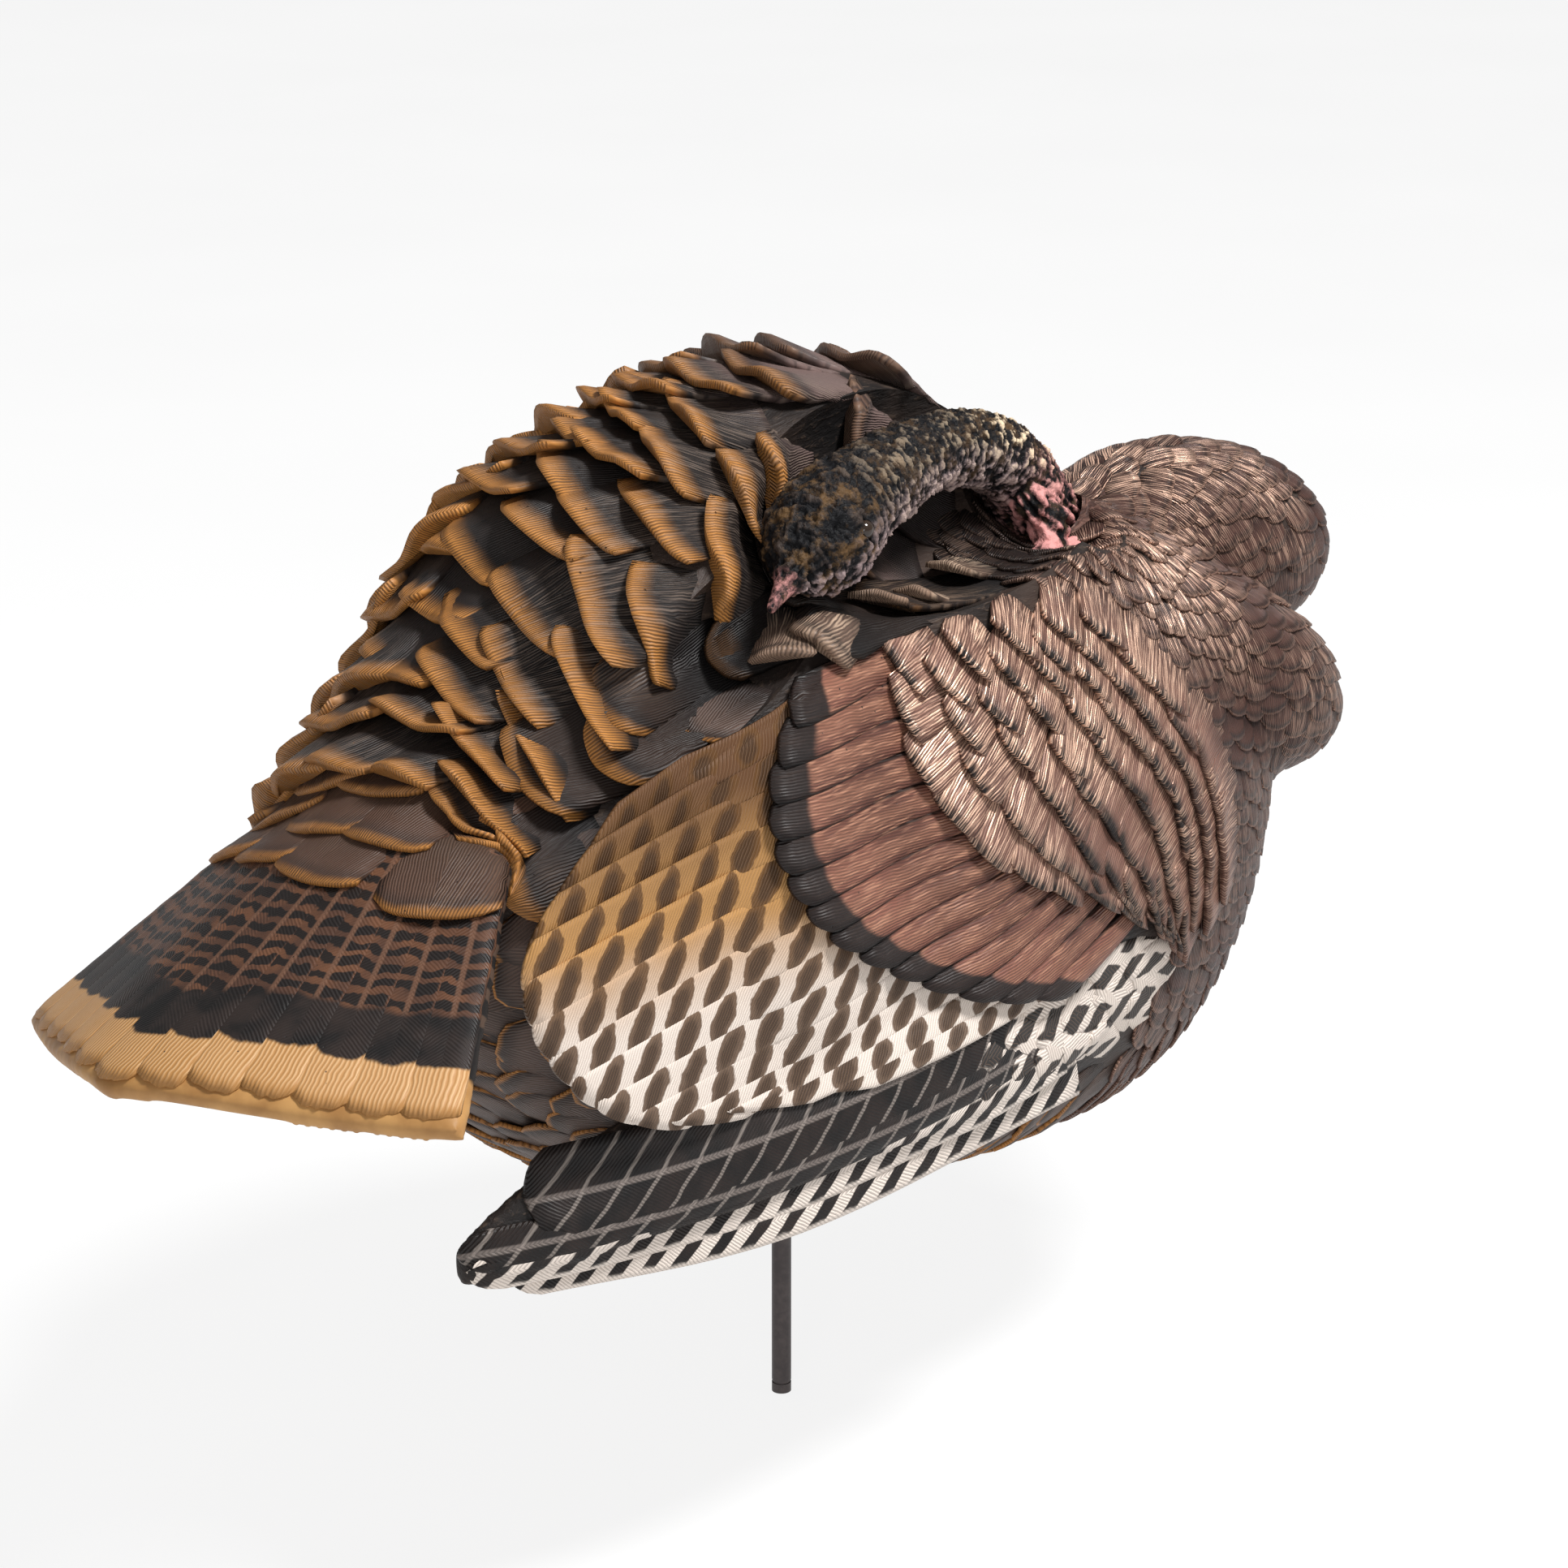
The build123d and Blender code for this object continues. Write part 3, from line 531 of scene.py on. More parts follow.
class Surface:
    """A smooth closed surface round CAD nodes, in millimetres, that feathers are laid on."""

    def __init__(self, nodes, voxel, smoothing):
        made = remeshed(as_mesh(joined(nodes), "base"), voxel, smoothing)
        made.calc_loop_triangles()
        self.points = self.read(made.vertices, "co", float) / MM
        self.normals = self.read(made.vertex_normals, "vector", float)
        self.faces = self.read(made.loop_triangles, "vertices", int)
        edges = self.read(made.edges, "vertices", int, 2)
        bpy.data.meshes.remove(made)
        self.keep_outer_shell(edges)
        for _ in range(4):
            total = self.normals.copy()
            np.add.at(total, edges[:, 0], self.normals[edges[:, 1]])
            np.add.at(total, edges[:, 1], self.normals[edges[:, 0]])
            self.normals = total / np.linalg.norm(total, axis=1)[:, None]
        self.tree = BVHTree.FromPolygons(self.points.tolist(), self.faces.tolist())

    @staticmethod
    def read(rows, key, kind, width=3):
        values = np.zeros(len(rows) * width, kind)
        rows.foreach_get(key, values)
        return values.reshape(-1, width)

    def keep_outer_shell(self, edges):
        """Drops the faces of the inner walls, which the topmost point isn't joined to."""
        group = np.arange(len(self.points))
        while True:
            before = group.copy()
            lowest = np.minimum(group[edges[:, 0]], group[edges[:, 1]])
            np.minimum.at(group, edges[:, 0], lowest)
            np.minimum.at(group, edges[:, 1], lowest)
            group = group[group]
            if (group == before).all():
                break
        outermost = group[np.argmax(self.points[:, 2])]
        self.faces = self.faces[group[self.faces[:, 0]] == outermost]

    def nearest(self, point):
        """(nearest point, smooth normal) on the surface."""
        spot, _, index, _ = self.tree.find_nearest(Vector(point))
        spot = np.array(spot)
        corners = self.faces[index]
        gaps = np.linalg.norm(self.points[corners] - spot, axis=1) + 1e-3
        normal = (self.normals[corners] / gaps[:, None]).sum(0)
        return spot, normal / np.linalg.norm(normal)

    def outer(self, point):
        """The skin point seen from outside, looking past point towards the spine."""
        point = np.asarray(point, float)
        x = held(point[0], -140.0, 185.0)
        spine = np.array((x, 0.0, float(np.interp(x, SPINE_X, SPINE_Z))))
        away = point - spine
        away /= np.linalg.norm(away) + 1e-9
        hit = self.tree.ray_cast(Vector(spine + away * OUT_OF_REACH), Vector(-away))[0]
        return np.array(hit) if hit is not None else self.nearest(point)[0]

    def beside(self, point):
        """(point, normal) on the wing's outer face; beyond the wing's edge it stays on the guide itself."""
        sign = math.copysign(1.0, point[1])
        start = Vector((point[0], sign * 260, point[2]))
        hit, _, index, _ = self.tree.ray_cast(start, Vector((0, -sign, 0)))
        flat = np.array((0.0, sign, 0.1))
        if hit is None or sign * hit.y < sign * point[1] - 1.0:
            return np.array((point[0], point[1] - sign, point[2])), flat / np.linalg.norm(flat)
        normal = self.normals[self.faces[index][0]] * 0.5 + flat
        return np.array(hit), normal / np.linalg.norm(normal)


BASE = Surface(("body_shell", "tail_fan", "right_wing_tip", "left_wing_tip", "neck_socket", "stake_sleeve",
                "sleeve_cap", "belly_flange", "drain_plug", "wing_dowels", "tail_screws", "flange_screws"), 0.004, 6)


# ---------------------------------------------------------------- curves and feathers


def curve_at(points, share):
    """Smooth curve through points (Catmull-Rom) at a share of its length from 0 to 1."""
    points = np.asarray(points, float)
    last = len(points) - 1
    spot = held(share) * last
    i = min(int(spot), last - 1)
    t = spot - i
    p1, p2 = points[i], points[i + 1]
    p0 = points[i - 1] if i else 2 * p1 - p2
    p3 = points[i + 2] if i + 2 <= last else 2 * p2 - p1
    return 0.5 * (2 * p1 + (p2 - p0) * t + (2 * p0 - 5 * p1 + 4 * p2 - p3) * t * t
                  + (3 * p1 - p0 - 3 * p2 + p3) * t * t * t)


def grid_at(grid, down, over):
    """Smooth surface through a grid of points: down the rows, over the columns."""
    return curve_at([curve_at(row, over) for row in grid], down)


def mirrored(points):
    """The same guide points on the other side of the bird."""
    flipped = np.array(points, float)
    flipped[..., 1] *= -1
    return flipped


class Flock:
    """Feathers gathered into one mesh piece."""

    def __init__(self, name):
        self.name = name
        self.points = []
        self.faces = []
        self.vane = []
        self.place = []
        self.middles = []

    def feather(self, path, half, *, lay=BASE.nearest, rows=9, columns=7, lift=4.0, rise=1.3, sunk=0.3, thick=1.4,
                camber=0.8, narrow=0.5, rounding=0.35, ragged=0.0, skew=0.0, ripple=0.0, curl=0.0, tilt=0.0,
                shear=0.0, hand=1, kind=None):
        """One closed feather shell laid along path (millimetres); half is its half width.

        lay drops a point on the surface. The height over it starts at sunk and climbs by lift, with rise as the
        climb's power; camber arches the vane, ripple, curl, tilt and shear bend it, and thick is its rim. narrow
        is the root's share of the width; rounding, ragged and skew shape the tip. hand is -1 on the left wing,
        and kind is stored in place of the distance from the tip.
        """
        path = np.asarray(path, float)
        centres, normals = (np.array(found) for found in zip(*(lay(p) for p in path)))
        sides = np.cross(normals, np.gradient(centres, axis=0))
        sides /= np.linalg.norm(sides, axis=1)[:, None] + 1e-9
        length = np.cumsum(np.linalg.norm(np.diff(centres, axis=0), axis=1))[-1]
        lot = rng.random()
        wave = rng.uniform(0, 6.28)
        notch = [rng.uniform(-1, 1) for _ in range(columns)]
        start = len(self.points)
        points, outward = [], []
        for i in range(rows):
            u = i / (rows - 1)
            for j in range(columns):
                t = 2 * j / (columns - 1) - 1
                share = u * (1 - rounding * (1 - math.sqrt(max(0.0, 1 - (0.98 * t) ** 2))))
                share *= 1 + ragged * notch[j] * u * u + skew * t
                spot = share * (len(path) - 1)
                k = min(int(spot), len(path) - 2)
                f = spot - k
                centre = centres[k] * (1 - f) + centres[k + 1] * f
                side = sides[k] * (1 - f) + sides[k + 1] * f
                width = half * (narrow + (1 - narrow) * math.sin(min(u * 1.5, 1.0) * math.pi / 2))
                where, normal = lay(centre + side * t * width)
                high = sunk + lift * share ** rise + camber * (1 - t * t) * min(1.0, 4 * u * (1.2 - u))
                high += ripple * u * math.sin(t * 4.2 + wave) + curl * max(0.0, u - 0.6) ** 2 * 6
                high += (tilt + shear * hand) * t * u
                if abs(t) > 0.99 or i == rows - 1:
                    high -= thick * 0.3
                points.append(where + normal * high)
                outward.append(normal)
                self.vane.append((u, t * hand, lot))
                self.place.append((share * length, t * width * hand, (1 - u) * length if kind is None else kind))
        # the rim goes down one side from the root, across the tip and back up the other side
        rim = [i * columns for i in range(rows)]
        rim += [(rows - 1) * columns + j for j in range(1, columns - 1)]
        rim += [i * columns + columns - 1 for i in reversed(range(rows))]
        below = {}
        for n, index in enumerate(rim):
            inner = points[index // columns * columns + columns // 2] - points[index]
            inner /= np.linalg.norm(inner) + 1e-9
            points.append(points[index] - outward[index] * thick + inner * thick * 0.3)
            self.vane.append(self.vane[start + index])
            self.place.append(self.place[start + index])
            below[index] = start + rows * columns + n
        self.points.extend(points)
        for i in range(rows - 1):
            left, right = i * columns, i * columns + columns - 1
            for a in range(start + left, start + right):
                self.faces.append((a, a + 1, a + columns + 1, a + columns))
            self.faces.append(tuple(below[k] for k in (left, left + columns, right + columns, right)))
        for a, b in zip(rim[:-1], rim[1:]):
            self.faces.append((start + a, start + b, below[b], below[a]))
        self.faces.append(tuple(below[k] for k in reversed(rim[rows - 1:rows + columns - 1])))
        self.faces.append((*[start + j for j in reversed(range(columns))], below[0], below[columns - 1]))
        self.middles.extend(c + side * half * t for c, side in list(zip(centres, sides))[len(centres) // 4:]
                            for t in (-0.6, 0.0, 0.6))

    def walk(self, root, heading, length, half, steps=6, **shape):
        """A feather that starts at root and follows the surface towards heading."""
        spot, normal = BASE.nearest(root)
        heading = np.asarray(heading, float)
        path = [spot]
        for _ in range(steps):
            heading = heading - normal * heading.dot(normal)
            heading /= np.linalg.norm(heading) + 1e-9
            spot, normal = BASE.nearest(spot + heading * length / steps)
            path.append(spot)
        self.feather(path, half, **shape)

    def rows(self, grid, count, across, *, lift, length=2.0, width=1.25, spread=0.12, on_wing=False, uneven=0.2,
             **shape):
        """Shingled rows over a grid of guide points, the first row at the front.

        across is the feathers' spacing; length and width are shares of the spacing along and across.
        """
        outer = (lambda p: BASE.beside(p)[0]) if on_wing else BASE.outer
        for r in range(count):
            down = r / count
            line = [outer(grid_at(grid, down, c / 12)) for c in range(13)]
            span = sum(np.linalg.norm(line[c + 1] - line[c]) for c in range(12))
            number = max(1, round(span / across))
            for c in range(number + r % 2):
                over = (c + (0.0 if r % 2 else 0.5)) / number
                over = held(over + rng.uniform(-spread, spread) / number)
                root = outer(grid_at(grid, down, over))
                onward = outer(grid_at(grid, (r + 1) / count, over)) - root
                normal = BASE.nearest(root)[1]
                row_way = (outer(grid_at(grid, down, min(over + 0.5 / number, 1.0)))
                           - outer(grid_at(grid, down, max(over - 0.5 / number, 0.0))))
                heading = np.cross(normal, row_way)
                heading *= math.copysign(1.0, heading.dot(onward)) / (np.linalg.norm(heading) + 1e-9)
                gap = max(heading.dot(onward), 0.5 * np.linalg.norm(onward))
                heading = heading + np.cross(normal, heading) * rng.uniform(-spread, spread)
                self.walk(root, heading, gap * length * rng.uniform(0.93, 1.07), span / number / 2 * width,
                          lift=lift * rng.uniform(1 - uneven, 1 + uneven),
                          tilt=rng.uniform(-1, 1) * lift * uneven * 0.5, **shape)

    def fan(self, roots, tips, count, *, width=1.3, steps=12, **shape):
        """Long feathers side by side between a curve of roots and a curve of tips, cut to the line of the tips."""
        for n in range(count):
            v = (n + 0.5) / count
            root, tip = curve_at(roots, v), curve_at(tips, v)
            long_way = tip - root
            size = long_way.dot(long_way)
            to_next = [curve_at(curve, v + 0.5 / count) - curve_at(curve, v - 0.5 / count) for curve in (roots, tips)]
            aside = [gap - long_way * gap.dot(long_way) / size for gap in to_next]
            half = (np.linalg.norm(aside[0]) + np.linalg.norm(aside[1])) / 4 * width
            path = [root + long_way * k / steps for k in range(steps + 1)]
            self.feather(path, half, skew=to_next[1].dot(long_way) / size / 2 * width, **shape)

    def piece(self, material, slot):
        """Makes the mesh piece, in metres, riding on the decoy."""
        mesh = bpy.data.meshes.new(self.name)
        mesh.from_pydata((np.array(self.points) * MM).tolist(), [], self.faces)
        store(mesh, vane=self.vane, place=self.place)
        turned = bmesh.new()
        turned.from_mesh(mesh)
        bmesh.ops.recalc_face_normals(turned, faces=turned.faces)
        turned.to_mesh(mesh)
        turned.free()
        add_piece(self.name, mesh, material, "decoy")


# ---------------------------------------------------------------- tail fan (same pivot and turns as the CAD fan)

TAIL_PIVOT = np.array((-108.0, 5.0, 363.0))
TAIL_DROOP, TAIL_YAW, TAIL_ROLL = (math.radians(a) for a in (29.0, 3.5, 7.0))
TAIL_HALF_ANGLE = math.radians(29.0)
TAIL_ROOT, TAIL_TIP, TAIL_CORNER = 95.0, 266.0, 254.0  # radii of the feathers' roots and of the fan's outline
TAIL_SETBACK = 3.5  # how far the feathers stop short of the fan's edge
TAIL_SLOPE, TAIL_CREST = math.tan(math.radians(19.0)), 7.0
TAIL_FEATHERS = 13


def turned_by(a, b, angle):
    """Two coordinates turned about the third axis."""
    return a * math.cos(angle) - b * math.sin(angle), a * math.sin(angle) + b * math.cos(angle)


def tail_point(radius, angle, above=2.0):
    """A point on top of the fan: radius from the pivot, angle from the middle feather."""
    x, y = radius * math.cos(angle), radius * math.sin(angle)
    z = above + TAIL_CREST - math.hypot(TAIL_SLOPE * y, TAIL_CREST)
    y, z = turned_by(y, z, TAIL_ROLL)
    z, x = turned_by(z, x, TAIL_DROOP)
    x, y = turned_by(x, y, math.pi + TAIL_YAW)
    return TAIL_PIVOT + np.array((x, y, z))


tail = Flock("tail_feathers")
middle = TAIL_FEATHERS // 2
for rank, n in enumerate(sorted(range(TAIL_FEATHERS), key=lambda n: -abs(n - middle))):
    angle = (n - middle) / (TAIL_FEATHERS / 2) * TAIL_HALF_ANGLE
    outward = abs(angle) / TAIL_HALF_ANGLE
    tip = TAIL_TIP - (TAIL_TIP - TAIL_CORNER) * min(1.0, 2.2 * outward) - TAIL_SETBACK
    path = [tail_point(TAIL_ROOT + (tip - TAIL_ROOT) * k / 14, angle) for k in range(15)]
    half = 255 * TAIL_HALF_ANGLE / (TAIL_FEATHERS / 2) * 0.5 * 1.12
    tail.feather(path, half, lift=0.5, thick=1.5, camber=0.35, sunk=0.6 + 0.05 * rank, rounding=0.035,
                 rows=34, columns=13, rise=1.0, narrow=0.42, ragged=0.004)


# ---------------------------------------------------------------- wings

SECONDARY_ROOTS = [(-70, -85, 345), (-80, -105, 303), (-62, -115, 264), (-25, -119, 229), (40, -121, 200)]
SECONDARY_TIPS = [(-168, -80, 307), (-219, -92, 270), (-212, -100, 228), (-172, -110, 199), (-85, -120, 194)]
GREATER_ROOTS = [(-28, -93, 348), (-34, -104, 318), (-22, -112, 290), (0, -118, 268), (28, -120, 250),
                 (58, -118, 234), (85, -114, 214)]
GREATER_TIPS = [(-88, -77, 342), (-110, -98, 314), (-114, -108, 284), (-98, -113, 255), (-62, -116, 230),
                (-20, -119, 210), (28, -121, 198)]
LESSER_GRID = [
    [(78, -86, 350), (122, -98, 310), (150, -102, 266), (158, -98, 212)],
    [(20, -94, 348), (64, -108, 302), (100, -112, 256), (118, -108, 205)],
    [(-28, -92, 347), (-22, -108, 304), (20, -118, 264), (92, -114, 218)],
]
LEADING_GRID = [
    [(122, -106, 196), (120, -104, 178), (104, -100, 158)],
    [(40, -118, 202), (42, -122, 180), (30, -120, 158)],
    [(-22, -120, 206), (-22, -125, 186), (-32, -124, 164)],
]
# each primary: middle line from root to tip, half width, 0 for a black vane or 1 for a white one
PRIMARIES = [
    ([(10, -122, 200), (-110, -112, 186), (-214, -86, 176)], 18.0, 0.0),
    ([(45, -120, 160), (-110, -119, 150), (-220, -84, 148)], 8.5, 1.0),
    ([(35, -122, 172), (-110, -119, 159), (-237, -80, 153)], 8.0, 1.0),
    ([(22, -123, 184), (-110, -117, 170), (-239, -78, 160)], 8.0, 0.0),
]

LEFT_SECONDARY_ROOTS = [(-60, 92, 326), (-70, 104, 292), (-50, 108, 258), (-20, 110, 228), (40, 108, 206)]
LEFT_SECONDARY_TIPS = [(-145, 82, 276), (-192, 78, 250), (-206, 76, 230), (-190, 80, 214), (-110, 98, 206)]
LEFT_PRIMARIES = [
    ([(0, 112, 222), (-110, 103, 218), (-210, 75, 214)], 14.0, 0.0),
    ([(25, 110, 184), (-110, 104, 192), (-222, 70, 194)], 8.0, 1.0),
    ([(20, 111, 198), (-110, 104, 203), (-236, 67, 201)], 8.0, 0.0),
]

secondaries = Flock("secondaries")
primaries = Flock("primaries")
greater = Flock("greater_coverts")
lesser = Flock("lesser_coverts")
leading = Flock("leading_coverts")

SECONDARY_SHAPE = dict(lay=BASE.beside, width=1.35, rows=22, columns=9, lift=0.9, rise=0.8, sunk=3.2, thick=1.6,
                       camber=0.25, narrow=0.8, rounding=0.035, shear=0.45)
PRIMARY_SHAPE = dict(lay=BASE.beside, sunk=1.0, lift=1.2, thick=1.8, camber=0.9, rise=0.7, rounding=0.06, rows=26,
                     columns=11, narrow=0.9, shear=0.6)
GREATER_SHAPE = dict(lay=BASE.beside, sunk=1.4, width=1.15, lift=6.0, thick=2.0, camber=1.5, rise=1.1, rounding=0.07,
                     rows=14, columns=11, narrow=0.8, shear=1.0)
LESSER_SHAPE = dict(on_wing=True, length=2.1, width=1.4, spread=0.1, uneven=0.08, rows=9, columns=9, lift=5.4,
                    rise=1.6, sunk=1.6, thick=2.2, camber=0.4, narrow=0.85, rounding=0.12, ripple=0.6, shear=0.5)
LEADING_SHAPE = dict(on_wing=True, width=1.5, rows=10, lift=1.3, thick=1.6, camber=0.3, narrow=0.7, rounding=0.5)

secondaries.fan(SECONDARY_ROOTS, SECONDARY_TIPS, 13, **SECONDARY_SHAPE)
secondaries.fan(LEFT_SECONDARY_ROOTS, LEFT_SECONDARY_TIPS, 11, hand=-1, **SECONDARY_SHAPE)
for hand, vanes in ((1, PRIMARIES), (-1, LEFT_PRIMARIES)):
    for line, half, white in vanes:
        path = [curve_at(line, k / 16) for k in range(17)]
        primaries.feather(path, half, kind=white, hand=hand, **PRIMARY_SHAPE)
greater.fan(GREATER_ROOTS, GREATER_TIPS, 14, **GREATER_SHAPE)
greater.fan(mirrored(GREATER_ROOTS), mirrored(GREATER_TIPS), 14, hand=-1, **GREATER_SHAPE)
lesser.rows(LESSER_GRID, 8, 20, **LESSER_SHAPE)
lesser.rows(mirrored(LESSER_GRID), 8, 20, **LESSER_SHAPE)
leading.rows(LEADING_GRID, 7, 12, **LEADING_SHAPE)
leading.rows(mirrored(LEADING_GRID), 7, 12, **LEADING_SHAPE)


# ---------------------------------------------------------------- back, rump and groove

HUMP_GRID = [
    [(64, -40, 360), (94, 5, 392), (116, 50, 372), (124, 88, 330)],
    [(-24, -46, 372), (-4, 5, 421), (22, 62, 402), (30, 106, 340)],
    [(-98, -58, 362), (-76, 8, 408), (-50, 58, 390), (-40, 98, 332)],
    [(-150, -60, 340), (-136, 0, 368), (-120, 48, 360), (-112, 88, 315)],
    [(-190, -57, 308), (-194, 0, 320), (-190, 42, 312), (-184, 74, 278)],
]
COVERT_GRID = [
    [(-170, -62, 322), (-178, 0, 328), (-180, 40, 318), (-182, 72, 285)],
    [(-205, -66, 288), (-236, -22, 296), (-232, 32, 290), (-214, 74, 270)],
]
GROOVE_GRID = [
    [(62, -72, 350), (60, -52, 352)],
    [(-20, -84, 354), (-20, -60, 358)],
    [(-90, -80, 342), (-90, -60, 352)],
    [(-150, -78, 312), (-152, -56, 332)],
    [(-190, -76, 285), (-195, -58, 298)],
]
hump = Flock("back_feathers")
hump.rows(HUMP_GRID, 14, 42, length=1.8, width=1.3, lift=11.0, thick=3.2, camber=0.4, rise=1.7, rounding=0.16,
          rows=13, columns=15, ripple=2.8, curl=0.8, spread=0.16, narrow=0.9, shear=1.4, uneven=0.22)
rump = Flock("rump_coverts")
rump.rows(COVERT_GRID, 3, 33, length=1.9, width=1.25, lift=4.6, thick=2.2, camber=0.5, rise=1.6, rounding=0.22,
          rows=11, columns=11, ripple=0.5, spread=0.1, narrow=0.85, shear=0.6, uneven=0.1)
groove = Flock("groove_feathers")
groove.rows(GROOVE_GRID, 6, 30, length=1.55, width=1.5, lift=8.0, thick=2.4, camber=0.8, rise=1.6, rounding=0.22,
            rows=12, columns=13, ripple=1.6, spread=0.12, narrow=0.85, shear=1.0, uneven=0.1)


# ruffled feathers that stand up under the neck and beside the bill: root, heading, length, half width
LOOSE = [((64, -46, 352), (-1, -0.35, 0), 34, 12.0), ((8, -54, 352), (-1, -0.6, 0), 38, 13.5),
         ((30, -62, 352), (-1, -0.3, 0), 36, 10.0), ((-34, -74, 354), (-1, -0.45, 0), 40, 13.0),
         ((-62, -62, 364), (-0.6, -0.8, -0.3), 36, 12.0)]
loose = Flock("loose_feathers")
for root, heading, length, half in LOOSE:
    loose.walk(root, heading, length, half, rows=14, columns=13, lift=10.0, rise=1.5, thick=2.6, camber=2.2,
               narrow=0.85, rounding=0.12, ripple=0.5, curl=0.5, shear=0.8)


# ---------------------------------------------------------------- everything the tracts leave free

# bare skin, in millimetres: round the flange and along the swivel slot, and under the neck
BELLY_OPENING = 34.0
NECK_SEAT = 16.0


def flow(point, normal):
    """Which way feathers lie: away from the neck, then down the breast and back along the belly."""
    radial = point - NECK_BASE
    gap = np.linalg.norm(radial) + 1e-6
    near = math.exp(-gap / 70)
    down = np.array((-0.15, 0.0, -1.0))
    back = np.array((-1.0, 0.0, -0.12))
    low = held((190 - point[2]) / 60)
    rear = held((110 - point[0]) / 60)
    share = max(low, rear)
    heading = radial / gap * (near * 1.6) + down * (1 - share) + back * share
    heading = heading - normal * heading.dot(normal)
    return heading / (np.linalg.norm(heading) + 1e-9)


def scattered(region, spacing, tries, taken, clear):
    """Points spread evenly over the base surface inside region, clear of the points taken."""
    a, b, c = (BASE.points[BASE.faces[:, k]] for k in range(3))
    area = np.linalg.norm(np.cross(b - a, c - a), axis=1)
    chooser = np.random.default_rng(5)
    faces = chooser.choice(len(area), tries, p=area / area.sum())
    r1, r2 = np.sqrt(chooser.random(tries))[:, None], chooser.random(tries)[:, None]
    spots = (1 - r1) * a[faces] + r1 * (1 - r2) * b[faces] + r1 * r2 * c[faces]
    outward = np.cross(b - a, c - a)[faces]
    kept = []
    cells = {}
    for spot, face_normal in zip(spots, outward):
        if not region(spot, face_normal / np.linalg.norm(face_normal)):
            continue
        key = tuple(int(v // spacing) for v in spot)
        around = [cells.get((key[0] + i, key[1] + j, key[2] + k), ())
                  for i in (-1, 0, 1) for j in (-1, 0, 1) for k in (-1, 0, 1)]
        if any(np.linalg.norm(spot - q) < spacing for group in around for q in group):
            continue
        if taken.find(Vector(spot))[2] < clear:
            continue
        cells.setdefault(key, []).append(spot)
        kept.append(spot)
    return kept


taken = tree_of([m for f in (tail, secondaries, primaries, greater, lesser, leading, hump, rump, groove)
                 for m in f.middles])
parts_apart = joined(("tail_fan", "right_wing_tip", "left_wing_tip"))
for vertex in parts_apart.verts:
    vertex.co /= MM
APART = BVHTree.FromBMesh(parts_apart)
parts_apart.free()


def outside(spot, normal):
    """True on the skin's outer side, away from the belly opening and the neck seat."""
    x, y, z = spot
    middle_z = np.interp(x, SPINE_X, SPINE_Z)
    away = np.array((0.0 if abs(x) < 200 else (x - math.copysign(200, x)), y, z - middle_z))
    if normal.dot(away) < 0:
        return False
    if math.hypot(x - held(x, 0.0, BELLY_OPENING), y) < BELLY_OPENING + 2 and z < 130:
        return False
    if x < 118 and (y > -8 and z > 348 or y > -45 and z > 362):
        return False
    if np.linalg.norm(spot - NECK_BASE) < NECK_SEAT:
        return False
    if APART.find_nearest(Vector(spot), 6.0)[0] is not None:
        return False
    return x > -200


def on_crop(spot, normal):
    return outside(spot, normal) and (spot[0] > 105 or spot[0] > 60 and spot[2] > 335)


def on_belly(spot, normal):
    under_bill = spot[0] > -60 and spot[1] < 0 and spot[2] > 322
    return outside(spot, normal) and not on_crop(spot, normal) and not under_bill


crop = Flock("breast_scales")
for spot in scattered(on_crop, 7.6, 40000, taken, 3.0):
    crop.walk(spot, flow(spot, BASE.nearest(spot)[1]), rng.uniform(14, 16.5), rng.uniform(8.5, 10), steps=4,
              lift=rng.uniform(2.0, 2.6), thick=1.3, camber=0.5, rise=1.5, rounding=0.45, rows=6, columns=7, narrow=0.7)
belly = Flock("belly_feathers")
for spot in scattered(on_belly, 15.0, 20000, taken, 8.5):
    belly.walk(spot, flow(spot, BASE.nearest(spot)[1]), rng.uniform(31, 38), rng.uniform(12, 14.5), steps=5,
               lift=rng.uniform(2.8, 4.2), thick=1.6, camber=1.0, rise=1.4, rounding=0.45, rows=8, columns=7,
               narrow=0.6, ragged=0.04)


# ---------------------------------------------------------------- head and neck

NECK_LINE = [(139, -12, 341), (117, -20, 366), (90, -29, 386), (55, -37, 396), (20, -46, 398), (-14, -57, 395),
             (-40, -66, 390), (-66, -76, 380), (-91, -85, 369)]
FACE_START, BEAK_START = 185.0, 248.0  # millimetres along the neck line
# hollows of the eye, the ear and the cheek: centre, radius and depth; the paint is darker in them too, as painted shade
DENTS = [((-58, -88, 395), 6.5, 2.6), ((-21, -77, 385), 5.0, 2.4), ((-48, -86, 372), 4.0, 1.2)]
# pink caruncles at the neck's foot, and the brow over the eye: centre and radius
WATTLES = [((113, -37, 356), 9.5), ((103, -38, 366), 8.0), ((110, -42, 348), 7.0), ((121, -44, 344), 5.0),
           ((101, -46, 346), 5.0)]
BROW = ((-46, -82, 396), 6.0)


